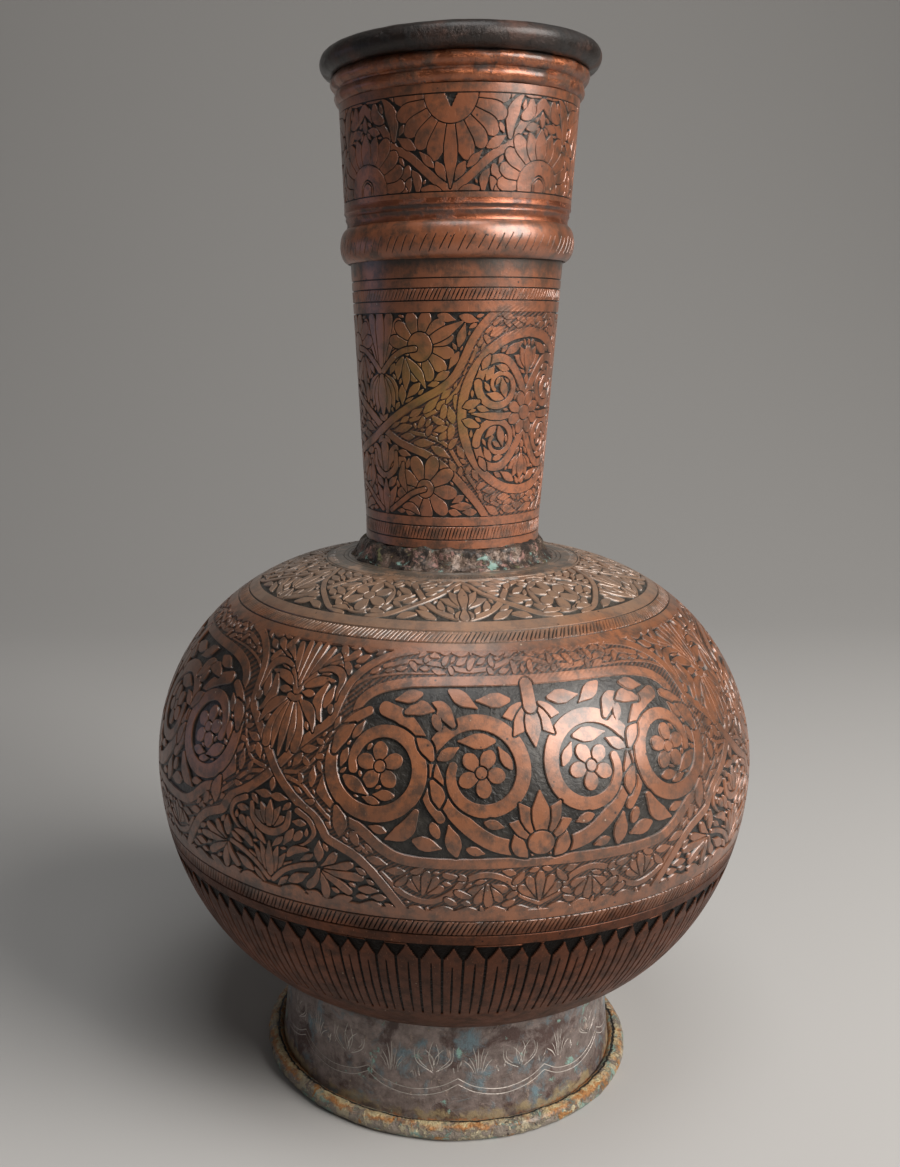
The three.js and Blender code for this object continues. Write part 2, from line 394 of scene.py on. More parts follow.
def flat_mesh(drawing, levels, tolerance, spacing, clear):
    """Triangles over the whole repeat whose edges follow the level lines."""
    points, edges = [], []
    wide, tall = drawing.wide, drawing.tall
    side = {0.0: set(), wide: set()}
    for level in levels:
        for chain, closed in level_lines(drawing, level):
            if closed and len(chain) < 5:
                continue
            if closed:
                half = len(chain) // 2
                ring = np.vstack([chain, chain[:1]])
                chain = np.vstack([thin_out(ring[:half + 1], tolerance)[:-1], thin_out(ring[half:], tolerance)])
                chain = split_long(chain, spacing * 0.8)[:-1]
            else:
                chain = split_long(thin_out(chain, tolerance), spacing * 0.8)
            if closed and len(chain) < 3:
                continue
            first = len(points)
            points += chain.tolist()
            count = len(chain)
            edges += [(first + k, first + k + 1) for k in range(count - 1)]
            if closed:
                edges.append((first + count - 1, first))
    for k, (x, y) in enumerate(points):
        for at in side:
            if abs(x - at) < 1e-7:
                side[at].add((round(y, 6), k))
    rows = np.linspace(0, tall, max(2, int(tall / spacing) + 1))
    taken = sorted(y for y, _ in side[0.0])
    rows = [y for y in rows if all(abs(y - v) > spacing / 4 for v in taken) or y in (0, tall)]
    for at in side:
        for y in rows:
            side[at].add((round(float(y), 6), len(points)))
            points.append([at, float(y)])
        order = [k for _, k in sorted(side[at])]
        edges += list(zip(order[:-1], order[1:]))
    columns = np.linspace(0, wide, max(2, int(wide / spacing) + 1))
    for y in (0.0, tall):
        ends = [min(side[at], key=lambda v: abs(v[0] - y))[1] for at in (0.0, wide)]
        line = [ends[0]]
        for x in columns[1:-1]:
            line.append(len(points))
            points.append([float(x), y])
        line.append(ends[1])
        edges += list(zip(line[:-1], line[1:]))
    # Rows of points for even triangles where no line runs
    inner = []
    for row, y in enumerate(np.arange(spacing * 0.8, tall - spacing * 0.5, spacing * 0.87)):
        x = np.arange(spacing * (0.6 + 0.5 * (row % 2)), wide - spacing * 0.4, spacing)
        inner.append(np.stack([x, np.full_like(x, y)], 1))
    if inner:
        inner = np.vstack(inner)
        far = np.abs(drawing.sample(drawing.f, inner)) > clear
        points += inner[far].tolist()
    verts, _, faces, *_ = delaunay_2d_cdt(points, edges, [], 0, ONE_POINT, False)
    v = np.array([tuple(p) for p in verts])
    for axis, ends in ((0, (0, wide)), (1, (0, tall))):
        for end in ends:
            v[:, axis] = np.where(np.abs(v[:, axis] - end) < ONE_POINT, end, v[:, axis])
    t = np.array(faces)
    a, b, c = v[t[:, 0]], v[t[:, 1]], v[t[:, 2]]
    area = (b[:, 0] - a[:, 0]) * (c[:, 1] - a[:, 1]) - (b[:, 1] - a[:, 1]) * (c[:, 0] - a[:, 0])
    t, area = t[np.abs(area) > NO_AREA], area[np.abs(area) > NO_AREA]
    t[area < 0] = t[area < 0][:, ::-1]
    return v, t


HATCH_RISE = 0.45  # how much of a cut's depth hatched ground gives up
WALL_TILT = 0.9  # how far the shading of a cut's wall leans back to the surface
STEEP = 0.3  # change of depth across a face that makes it a wall


def turned(radius, angle, height):
    """Points at these radii, angles and heights, the angles counted from the front to the right."""
    return np.stack([radius * np.sin(angle), -radius * np.cos(angle), height], 1)


def chased_piece(name, outline, drawing, start, depth, wall, slope, tolerance, spacing, sway=None):
    """A turned, closed shell whose outer face carries the drawing, repeated round it.

    It starts at an angle in degrees. The cuts have a depth and the width of their slope, the mesh a tolerance
    along the cuts and a spacing elsewhere, and sway moves the whole sheet in or out."""
    copies = drawing.copies
    drawing.f[:, -1] = drawing.f[:, 0]
    flat, tris = flat_mesh(drawing, (0.0, -slope), tolerance, spacing, max(0.9, slope * 3))
    value = drawing.sample(drawing.f, flat)
    cut = np.clip(-value / slope, 0, 1)
    hatch = drawing.sample(drawing.hatch, flat)
    gy, gx = np.gradient(drawing.f, drawing.dy, drawing.dx)
    slope_x, slope_y = drawing.sample(gx, flat), drawing.sample(gy, flat)
    steep = np.hypot(slope_x, slope_y) + 1e-6
    slope_x, slope_y = slope_x / steep, slope_y / steep

    count = len(flat)
    left = np.flatnonzero(flat[:, 0] == 0)
    right = np.flatnonzero(flat[:, 0] == drawing.wide)
    left, right = left[np.argsort(flat[left, 1])], right[np.argsort(flat[right, 1])]
    if len(left) != len(right):
        raise RuntimeError(f"{name}: the ends of the repeat differ")
    s = flat[:, 1] + drawing.top
    r, z, nr, nz = outline.at(s)
    places, normals, walls, coords, corners = [], [], [], [], []
    for k in range(copies):
        angle = math.radians(start) + 2 * math.pi * (k + flat[:, 0] / drawing.wide) / copies
        lift = -depth * cut * (1 - HATCH_RISE * hatch)
        if sway:
            lift = lift + sway(angle, s)
        across = np.stack([np.cos(angle), np.sin(angle), 0 * angle], 1)
        out, down = turned(nr, angle, nz), turned(nz, angle, -nr)
        places.append(turned(r + lift * nr, angle, z + lift * nz))
        normals.append(out)
        walls.append(out * WALL_TILT - (across * slope_x[:, None] + down * slope_y[:, None]))
        coords.append(np.stack([flat[:, 0] / drawing.wide, (k + flat[:, 1] / drawing.tall) / copies], 1))
        corners.append(tris + k * count)
    places, normals, walls = np.vstack(places), np.vstack(normals), np.vstack(walls)
    walls /= np.linalg.norm(walls, axis=1, keepdims=True)
    coords, corners = np.vstack(coords), np.vstack(corners)

    # Share the points where one repeat meets the next
    same = np.arange(len(places))
    for k in range(copies):
        same[k * count + right] = ((k + 1) % copies) * count + left
    shared = same[corners]

    # Back of the shell: rim points moved in by the wall, and a coarse skin between them
    rows = []
    for edge in (0, drawing.tall):
        rim = np.flatnonzero(flat[:, 1] == edge)
        rim = rim[np.argsort(flat[rim, 0])]
        rows.append(same[np.concatenate([rim[:-1] + k * count for k in range(copies)])])
    if len(rows[0]) != len(rows[1]):
        raise RuntimeError(f"{name}: the two rims differ")
    steps = max(2, int(drawing.tall / (spacing * 1.6)))
    base = len(places)
    columns = len(rows[0])
    top_angle = np.arctan2(places[rows[0], 0], -places[rows[0], 1])
    inner_places = []
    for row in range(steps + 1):
        ri, zi, ni, mi = (float(v) for v in outline.at(drawing.top + drawing.tall * row / steps))
        inner_places.append(turned(ri - wall * ni, top_angle, np.full(columns, zi - wall * mi)))
    places = np.vstack([places] + inner_places)
    grid = base + np.arange((steps + 1) * columns).reshape(steps + 1, columns)
    nxt = np.roll(np.arange(columns), -1)
    pairs = [*zip(grid[:-1], grid[1:]), (rows[0], grid[0]), (grid[-1], rows[1])]
    quads = np.vstack([np.stack([upper, upper[nxt], lower[nxt], lower], 1) for upper, lower in pairs])
    quads_tris = np.vstack([quads[:, [0, 1, 2]], quads[:, [0, 2, 3]]])

    faces = np.vstack([shared[:, ::-1], quads_tris])
    used, index = np.unique(faces, return_inverse=True)
    faces = index.reshape(faces.shape)
    mesh = bpy.data.meshes.new(name)
    mesh.vertices.add(len(used))
    mesh.vertices.foreach_set("co", (places[used] * MM).astype(np.float32).ravel())
    mesh.loops.add(faces.size)
    mesh.loops.foreach_set("vertex_index", faces.astype(np.int32).ravel())
    mesh.polygons.add(len(faces))
    mesh.polygons.foreach_set("loop_start", np.arange(0, faces.size, 3, dtype=np.int32))
    mesh.polygons.foreach_set("loop_total", np.full(len(faces), 3, np.int32))
    mesh.update(calc_edges=True)
    for label, data in (("cut", cut), ("hatch", hatch)):
        data = np.r_[np.tile(data, copies), np.zeros(len(places) - base)]
        mesh.attributes.new(label, "FLOAT", "POINT").data.foreach_set("value", data[used].astype(np.float32))

    # Smooth shading on the skin and along the cut walls, flat on the rims
    outer = corners[:, ::-1]
    level = np.tile(cut, copies)[outer]
    is_wall = (level.max(1) - level.min(1)) > STEEP
    corner_normals = np.where(is_wall[:, None, None], walls[outer], normals[outer])
    a, b, c = (places[quads_tris[:, k]] for k in range(3))
    back = np.cross(b - a, c - a)
    back /= np.linalg.norm(back, axis=1, keepdims=True) + 1e-12
    corner_normals = np.vstack([corner_normals.reshape(-1, 3), np.repeat(back, 3, axis=0)])
    mesh.polygons.foreach_set("use_smooth", np.ones(len(faces), bool))
    mesh.normals_split_custom_set(corner_normals.astype(np.float32))

    # Each repeat gets a row of the map, and the back a narrow strip below them, with a little room all round
    layer = mesh.uv_layers.new(name="OFBake")
    front_uv = coords[outer].reshape(-1, 2) * [0.998, 0.93] + [0.001, 0.065]
    angle = np.arctan2(places[quads_tris, 0], -places[quads_tris, 1]) / (2 * math.pi) + 0.5
    high = (places[quads_tris, 2] - places[:, 2].min()) / np.ptp(places[:, 2])
    back_uv = np.stack([angle * 0.998, high * 0.05 + 0.003], -1).reshape(-1, 2)
    layer.data.foreach_set("uv", np.vstack([front_uv, back_uv]).astype(np.float32).ravel())
    piece = bpy.data.objects.new(name, mesh)
    bpy.context.scene.collection.objects.link(piece)
    print(name, len(faces), "triangles")
    return piece


# What the ornament is made of

MOST_DROPS = 240  # where a chaser would stop filling one field
WIDE_OPEN = 7  # ground further from metal than this is all the same
BY_AXIS = 2.2  # a drop that starts nearer to the mirror line than this lies on it
SLIMMEST = 0.35  # half the width of the smallest drop


def reach(d, base, angle, length):
    """The point this far from base, with the angle in degrees: 0 to the right, 90 down."""
    a = math.radians(angle)
    return (base[0] + length * math.cos(a) / d.scale, base[1] + length * math.sin(a))


def leaf(d, base, angle, length, wide, curl=0, shape="leaf", gap=0.7, mirror=None):
    """A leaf from base, its tip turned by curl degrees."""
    middle = reach(d, base, angle, length * 0.5)
    tip = reach(d, middle, angle + curl, length * 0.5)
    d.lay([base, middle, tip], wide, shape, gap, mirror)


def fan(d, base, angle, spread, length, wide, count, shape="petal", fall=0.15, curl=0, gap=0.7, mirror=None):
    """Petals side by side round one point, the middle one on top and the outer ones shorter by fall."""
    for k in sorted(range(count), key=lambda k: -abs(k - (count - 1) / 2)):
        share = (k / (count - 1) - 0.5) * 2
        leaf(d, base, angle + share * spread / 2, length * (1 - fall * abs(share)), wide * 1.12, share * curl,
             shape, gap, mirror)


def leaves(d, table, curl, shape="leaf", gap=0.7, mirror=None):
    """Leaves, each its base's angle and length along the outline, then its own angle, length and width."""
    for x, y, angle, length, wide in table:
        leaf(d, (x, y), angle, length, wide, curl, shape, gap, mirror)


def about(d, centre, points):
    """Points given in millimetres from a centre, the first number to the left, as points of the drawing."""
    return [(centre[0] - x / d.scale, centre[1] + y) for x, y in points]


def lozenge(d, centre, size, mirror=None):
    low, high = reach(d, centre, 65, size), reach(d, centre, -115, size)
    d.lay([high, centre, low], size * 1.1, "leaf", 0.6, mirror)


def far_from_metal(d, limit):
    """Roughly how far each place in the ground is from raised metal, in millimetres up to limit."""
    near = d.f > 0
    far = np.full(d.f.shape, float(limit))
    far[near] = 0
    for step in range(int(limit / d.dx)):
        grown = near | np.roll(near, 1, 1) | np.roll(near, -1, 1)
        grown[1:] |= near[:-1]
        grown[:-1] |= near[1:]
        if step % 2:
            grown[1:] |= np.roll(near[:-1], 1, 1) | np.roll(near[:-1], -1, 1)
            grown[:-1] |= np.roll(near[1:], 1, 1) | np.roll(near[1:], -1, 1)
        far[grown & ~near] = (step + 1) * d.dx
        near = grown
    return far


def fill_ground(d, low, high, left, right, room, smallest, widest, longest, mirror=None):
    """Drops and small leaves in whatever ground is left bare, as a chaser fills it.

    It fills what lies between two lengths along the outline and two angles, and is further than smallest from
    any metal. Each drop has some room round it, and a greatest width and length."""
    x, y = d.x[0] / d.scale, d.y[:, 0] + d.top
    zone = ((y >= low) & (y <= high))[:, None] & ((x >= left) & (x <= right))[None]
    for turn in range(MOST_DROPS):
        far = far_from_metal(d, WIDE_OPEN)
        j, i = np.unravel_index(np.argmax(np.where(zone, far, 0)), far.shape)
        if not zone[j, i] or far[j, i] < smallest:
            break
        half = min(far[j, i] - room, widest / 2)
        best, line = 0, None
        on_axis = mirror is not None and abs(x[i] - mirror) * d.scale < BY_AXIS
        for angle in (90,) if on_axis else range(0, 180, 15):
            a = math.radians(angle)
            ends = []
            for way in (1, -1):
                size = 0.0
                while size < longest / 2:
                    u = i + way * math.cos(a) * (size + 0.5) / d.dx
                    v = j + way * math.sin(a) * (size + 0.5) / d.dy
                    if not 0 <= round(v) <= d.ny or far[round(v), round(u) % (d.nx + 1)] < room + 0.25:
                        break
                    size += 0.5
                ends.append(size)
            if sum(ends) > best:
                best = sum(ends)
                spot = (mirror if on_axis else x[i], y[j])
                line = [reach(d, spot, angle, ends[0]), spot, reach(d, spot, angle, -ends[1])]
        half = min(half, best * 0.25)
        if line is None or half < SLIMMEST:
            zone[max(0, j - 3):j + 4, max(0, i - 3):i + 4] = False
            continue
        if turn % 2:
            line = line[::-1]
        d.lay(line, half * 2, "drop", room * 0.8, None if on_axis else mirror)
        zone[max(0, j - 1):j + 2, max(0, i - 1):i + 2] = False


def rope(d, between, count, wide, lean, rng):
    """Slanting cuts between two lines, put in one by one, a little unevenly."""
    low, high = between
    pitch = d.wide / d.scale / count
    shift = lean / d.scale
    for k in range(count):
        x = (k + 0.5 + rng.uniform(-0.12, 0.12)) * pitch
        tilt = shift * rng.uniform(0.85, 1.15)
        d.cut([(x - tilt / 2, high - rng.uniform(0.1, 0.4)), (x + tilt / 2, low + rng.uniform(0.1, 0.4))],
              wide * rng.uniform(0.85, 1.15), "swell")


def daisy(d, centre, disc, length, wide, count, start=0, gap=0.6, mirror=None):
    """Petals all round a boss, each laid over the one before."""
    for k in range(count):
        angle = start + 360 * k / count
        leaf(d, reach(d, centre, angle, disc * 0.6), angle, length, wide * 1.2, 0, "petal", gap, mirror)
    d.disc(centre, (disc, disc), gap, mirror)


# Main frieze: four long cartouches with straps that cross between them. 0 is a crossing, 45 a middle.

def draw_main_frieze():
    d = Drawing(126.0, 4, 95.8, 0.25, 56.0, ground=True)
    # Small leaf scroll that fills the field outside the cartouche
    d.lay([(17, 63.6), (22, 61), (28, 61.9), (33, 64.2), (38, 63.6), (42, 60.8), (45, 59.6)], 1.7, mirror=45)
    leaves(d, [(22, 61.4, 35, 5, 2.2), (25, 61.2, -50, 5, 2.2), (29, 62.3, -75, 4.6, 2.4), (30, 62.8, 55, 4.2, 2),
               (34, 64, -70, 6, 2.6), (38, 63.4, 60, 4, 2.2), (39, 62.8, -110, 4.8, 2.2), (43, 60.6, 75, 6, 2.4),
               (26, 58.6, -10, 5, 1.8)], 25, mirror=45)
    d.lay([(20, 138), (23.5, 145), (27.5, 147.6), (31, 144), (33, 139), (36.5, 136.8), (40, 139.4),
           (42, 145), (45, 148.6)], 1.9, mirror=45)
    fan(d, (26.6, 144.4), -80, 120, 7.6, 2.6, 5, mirror=45)
    fan(d, (36.6, 141.0), 85, 140, 7.4, 2.7, 5, mirror=45)
    fan(d, (45, 147), -90, 110, 9.4, 2.8, 5)
    leaves(d, [(31.5, 143, 30, 6.5, 2.4), (30, 145.8, 40, 5, 2.2), (33.4, 138.6, 200, 5, 2.2),
               (22.2, 142, -35, 6, 2.2), (40.6, 140.6, -40, 6, 2.3), (41.4, 144, 160, 4.4, 2),
               (29.6, 136.6, 20, 5.4, 2.0), (24.6, 136.4, -10, 5, 2.0), (39, 148.6, -10, 5, 2.0)], -20, mirror=45)
    # Leaves in the narrow field beside the crossing
    d.lay([(2.2, 107), (5.2, 105.6), (7.2, 101), (8.6, 95), (9.8, 90)], 1.3, "taper", 0.6, mirror=0)
    d.lay([(2.4, 108.6), (5.6, 110.4), (8.2, 115), (10.6, 119.4), (14, 124.6), (17.6, 130.6)], 1.2, gap=0.6, mirror=0)
    leaves(d, [(6.6, 103, -150, 4, 2), (7.6, 100, -20, 4, 1.8), (8.6, 94.6, -170, 3.6, 1.7),
               (5, 106.5, 60, 3.6, 1.8), (9.2, 92, -40, 3.6, 1.5), (8.4, 115.2, 160, 4.4, 2.0),
               (12.4, 122.6, 175, 5, 2.1), (14.8, 126.4, 10, 3.6, 1.6), (16.6, 129.4, 140, 4.4, 1.9)],
           20, gap=0.6, mirror=0)
    # Strap frame of the cartouche
    d.lay([(9.9, 76.5), (12.0, 71.5), (15.5, 68.2), (20.5, 66.2), (27, 65.6)], 1.0, "taper", 0.6, mirror=45)
    frame_upper = [(45, 68.4), (35, 68.4), (26, 68.9), (20.5, 70.3), (16.2, 73.4), (13.9, 78), (13.5, 83.5),
                   (12.6, 90), (11.2, 97), (10.4, 104), (9.4, 111.2)]
    frame_lower = [(9.4, 111.2), (11.3, 114.4), (14.2, 119.4), (17.2, 123.7), (19.6, 128), (22.8, 131.6),
                   (27.5, 132.8), (35, 132.8), (45, 132.4)]
    d.lay(frame_upper, 3.5, mirror=45)
    d.lay(frame_lower, 3.5, gap=0.0, mirror=45)
    # Straps that cross, one over the other
    strap = [(23, 56.2), (18.5, 58.4), (15, 62.0), (12.2, 67), (10.5, 73), (9.7, 79.5), (8.9, 86), (6.4, 91.2),
             (3.3, 97.8), (0, 106.5), (-2.9, 112.5), (-5.8, 117.2), (-8.6, 120.8), (-10, 124.2), (-10.9, 127.4),
             (-13, 129.6), (-15.6, 132.2), (-18, 136.6), (-20.4, 142.6), (-23.6, 152)]
    d.lay(strap, 3.0)
    d.lay([(-x, y) for x, y in strap], 3.0)
    # Hanging lotus above the crossing, with the fan and vines that spring from its node
    for x, wide in [(9.0, 3.4), (6.6, 3.2), (4.3, 3.0), (2.1, 2.8)]:
        d.lay([(0.3, 78), (x * 0.45, 70), (x, 57.4 + 0.08 * x * x)], wide, "petal", 0.7, 0)
    d.lay([(0, 78), (0, 68), (0, 57)], 2.8, "petal", 0.7)
    d.lay([(0.2, 78), (2.2, 71.6), (5, 66), (8.3, 62.6)], 1.7, "taper", mirror=0)
    fan(d, (8.0, 62.9), -35, 150, 6.6, 2.8, 3, "petal", 0.1, 20, mirror=0)
    d.lay_each([
        ([(3.4, 68.6), (5.8, 67), (8.0, 68.0), (9.0, 71), (8.8, 75.5), (8.9, 79)], 3.0, "lance", 0.8),
        ([(1.4, 75.6), (4.2, 72.6), (7.6, 71.6)], 3.4, "leaf", 0.8),
        ([(6.2, 73.4), (5.3, 78.6), (5.6, 83.2), (7.0, 87.4)], 4.2, "lance", 0.8),
        ([(8.0, 80.6), (8.6, 84.2)], 2.2, "leaf", 0.7),
        ([(0.4, 81), (3.4, 83), (5.1, 87), (5.9, 91.4)], 4.0, "lance", 0.8),
        ([(0.4, 81), (2.2, 86), (3.1, 92), (3.1, 98.2)], 4.2, "petal", 0.8),
        ([(0.3, 81), (1.2, 87), (1.7, 93), (1.6, 99.8)], 3.0, "lance", 0.7)], 0)
    d.lay([(0, 80.6), (0, 90), (0, 102)], 3.2, "lance")
    d.lay([(-1.2, 79.8), (0, 80.6), (1.2, 79.8)], 2.0, gap=0.6)
    # Bud, leaves and palmette below the crossing
    fan(d, (0, 149.4), -90, 74, 15.6, 3.0, 7, "lance", 0.12, 14)
    d.lay([(0.5, 148.6), (3, 143.4), (6.4, 139.8), (8.6, 138.6)], 1.7, mirror=0)
    for tip in [(12.2, 133.6), (14.9, 136.4), (16.6, 140.8), (14.6, 146.8), (10.6, 149.6), (7.6, 147.4)]:
        d.lay([(9.4, 140.2), ((9.4 + tip[0]) / 2 + 0.4, (140.2 + tip[1]) / 2), tip], 3.0, "petal", 0.7, mirror=0)
    d.lay_each([
        ([(5.4, 119.8), (7.8, 122.6), (8.6, 127), (7.0, 131.4), (5.4, 132.6)], 2.0, "comma", 0.8),
        ([(6.4, 127.2), (5.0, 131.0)], 2.6, "leaf", 0.7),
        ([(3.6, 137.8), (5.0, 134.6), (7.8, 133.4)], 2.6, "leaf", 0.7)], 0)
    fan(d, (0, 128.6), -90, 88, 10.2, 2.8, 5, "lance", 0.1, 20)
    d.lay([(-3.9, 121.2), (-3.4, 126.2), (-1.6, 129.2), (0, 129.9), (1.6, 129.2), (3.4, 126.2), (3.9, 121.2)],
          2.6, "swell")
    draw_cartouche(d)
    for low, high, left, right in [(56.8, 67, 11, 45), (133.5, 151, 17.5, 45), (88, 131, 1.6, 19)]:
        fill_ground(d, low, high, left, right, 0.75, 1.35, 2.8, 7, 45)
    fill_ground(d, 56.8, 104, 0, 10, 0.95, 1.9, 3.4, 9, 0)
    fill_ground(d, 109, 151, 0, 20, 0.95, 1.9, 3.6, 9, 0)
    # The field round the cartouche is combed between the leaves
    d.mark_hatch([(abs(x), y) for x, y in strap] + [(45, 152), (45, 56)], 1, 45)
    d.mark_hatch(frame_upper + frame_lower[1:], 0, 45)
    d.rows(50, MAIN_FRIEZE[0])
    d.rows(MAIN_FRIEZE[1], 160)
    d.ring_lines((MAIN_FRIEZE[0] - 0.1, 0.5), (MAIN_FRIEZE[1] + 0.1, 0.5))
    return d


def draw_cartouche(d):
    """Bold leaf scroll inside the cartouche, the same on both sides of its middle."""
    axis = 45
    centre = (axis, 100.6)
    # Two coils on each side, joined by one running stem
    stem = [(0, 27.2), (9, 26.8), (17.5, 24.4), (26, 18.4), (33.6, 9.6), (38.4, 0), (43, -10), (49.6, -17.6),
            (57.6, -20.8)]
    for points, wide, shape in ((stem, 5.2, "strap"), (coil((20.6, 0.6), 48, -420, 21.2, 10.4), 5.4, "swell"),
                                (coil((57.2, -0.4), -70, 440, 20.4, 10.0), 5.4, "swell")):
        d.lay(about(d, centre, points), wide, shape, 1.2, axis)
    # Split leaves that grow out of the stem
    for x, y, a, n, w, c in [(31, -16, -52, 13, 5.6, -34), (2.5, -13, 250, 12, 5.0, 30), (43.4, 14.4, 62, 15, 5.6, 34),
                             (75.4, -4, 250, 12, 5.0, 24), (49, -20, 200, 11, 5.0, 30), (8.6, 22.2, 100, 9, 4.8, -30),
                             (38, 4, 118, 9, 4.4, 20), (38.4, -4, -60, 9, 4.4, -20), (72, 15.6, 110, 10, 5, 20)]:
        leaf(d, *about(d, centre, [(x, y)]), 180 - a, n, w, c, "lance", 1.2, axis)
    # A flower at the heart of each coil
    for x, y, turn in [(20.6, 0.6, 10), (57.2, -0.4, 50)]:
        daisy(d, *about(d, centre, [(x, y)]), 1.9, 5.4, 4.4, 5, turn, 0.8, axis)
    for x, y, size in [(37, -16.5, 3.0), (36.6, 20.6, 2.8), (64.6, 25.6, 2.6)]:
        lozenge(d, *about(d, centre, [(x, y)]), size, axis)
    # Palmette and bud on the middle line
    fan(d, (axis, 77.2), 90, 120, 15.5, 5.2, 5, "lance", 0.22, 16, 0.9)
    d.lay([(axis, 70.4), (axis, 78.5)], 5.2, "strap", 0.9)
    fan(d, (axis, 124.6), -90, 110, 16.5, 5.4, 5, "lance", 0.25, 14, 0.9)
    d.disc((axis, 126), (4.6, 4.0), 0.9)
    fill_ground(d, 70, 131.5, 9.5, 45, 1.5, 3.0, 5.2, 13, 45)


# Shoulder: fine turned lines, a row of ticks, roundels with flowers, and a rope

def draw_shoulder(rng):
    d = Drawing(80.0, 6, 56.0, 0.22)
    d.ring_lines((2.6, 0.5), (4.4, 0.45), (6.2, 0.5), (7.6, 0.55), (11.4, 0.6))
    for k in range(40):
        x = (k + 0.5 + rng.uniform(-0.1, 0.1)) * 1.5
        d.cut([(x, TICK_ROW[0] + 0.2), (x, TICK_ROW[1] - 0.3)], 0.75, "taper")
    low, high = SHOULDER_FRIEZE
    d.rows(low, high, metal=False)
    # Roundel with a flower of six petals at 30 degrees, palmette at 0
    d.lay([(0, 40.8), (5.6, 37.5), (10.6, 31.5), (13.8, 24.5), (17.5, 18.2), (23, 14.6), (30, 13.2)], 2.3, mirror=30)
    d.lay([(0, 13.6), (3.2, 17.6), (6.0, 23), (10.6, 28.6), (15.4, 33.4), (20.6, 38.6), (26, 41)], 2.0, mirror=30)
    d.lay([(30 + x / d.scale, 28.4 + y) for x, y in coil((0, 0), 0, 360, 10.4, 10.4)], 2.1)
    daisy(d, (30, 28.4), 2.4, 6.8, 4.0, 6, 30, gap=0.7)
    fan(d, (0, 34), -90, 100, 14.5, 3.8, 5, "lance", 0.2, 18)
    fan(d, (0, 35), 90, 60, 5.2, 3.0, 3)
    leaves(d, [(15.6, 21, -60, 6, 3), (9.4, 15.4, 10, 8, 3.2), (13.2, 38, 10, 7, 3.2), (20.8, 33.6, 40, 6, 2.8),
               (7.0, 30, 100, 6, 2.8), (25, 18.2, 215, 5, 2.4), (30, 14.4, 20, 6, 2.4), (22.2, 38.2, -10, 7, 2.6)],
           20, "lance", mirror=30)
    fill_ground(d, low, high, 0, 30, 0.8, 1.7, 3.2, 9, 30)
    d.rows(high, 60)
    d.rows(10.6, low)
    d.ring_lines((11.4, 0.6), (high + 0.2, 0.5))
    rope(d, UPPER_ROPE, 56, 0.72, 2.6, rng)
    d.ring_lines(*((s, 0.75) for s in UPPER_ROPE))
    return d


# Lower body: rope, plain band, and a skirt of long petals that ends above the foot

def draw_lower_body(rng):
    top = 151.8
    d = Drawing(124.0, 4, BODY_END - top, 0.25, top)
    d.ring_lines(*((s, 0.8) for s in LOWER_ROPE))
    rope(d, LOWER_ROPE, 112, 0.78, 2.7, rng)
    d.ring_lines((PETAL_TOPS - 0.7, 0.6))
    count = 25
    marks = np.cumsum(rng.uniform(0.88, 1.12, count + 1))
    marks = (marks - marks[0]) / (marks[-1] - marks[0]) * 90
    for a, b in zip(marks[:-1], marks[1:]):
        half = (b - a) / 2
        peak, neck = PETAL_TOPS + rng.uniform(-0.2, 0.5), PETAL_TOPS + 6.6 + rng.uniform(-0.6, 0.6)
        # Dark notch between this petal and the next
        for step in np.linspace(0, 1, 9):
            y = peak + (neck - peak) * step
            room = half * (1 - step) ** 0.8 * d.scale
            if room > 0.3:
                side = room / d.scale * 0.94
                d.cut([(b - side, y), (b + side, y)], 1.0)
        foot = PETAL_FEET + rng.uniform(-0.8, 0.8)
        waist = (neck + foot) / 2
        d.cut([(b, neck - 0.6), (b, waist), (b, foot)], 1.25)
        middle = (a + b) / 2 + rng.uniform(-0.12, 0.12)
        d.cut([(middle, neck + rng.uniform(1.6, 3.6)), (middle, waist), (middle, foot - 0.4)], 1.2, "swell")
    d.rows(PETAL_FEET + 1.6, BODY_END)
    return d


# Neck: ropes at both ends, two roundels, and flowers between the crossing straps. 0 is a crossing.

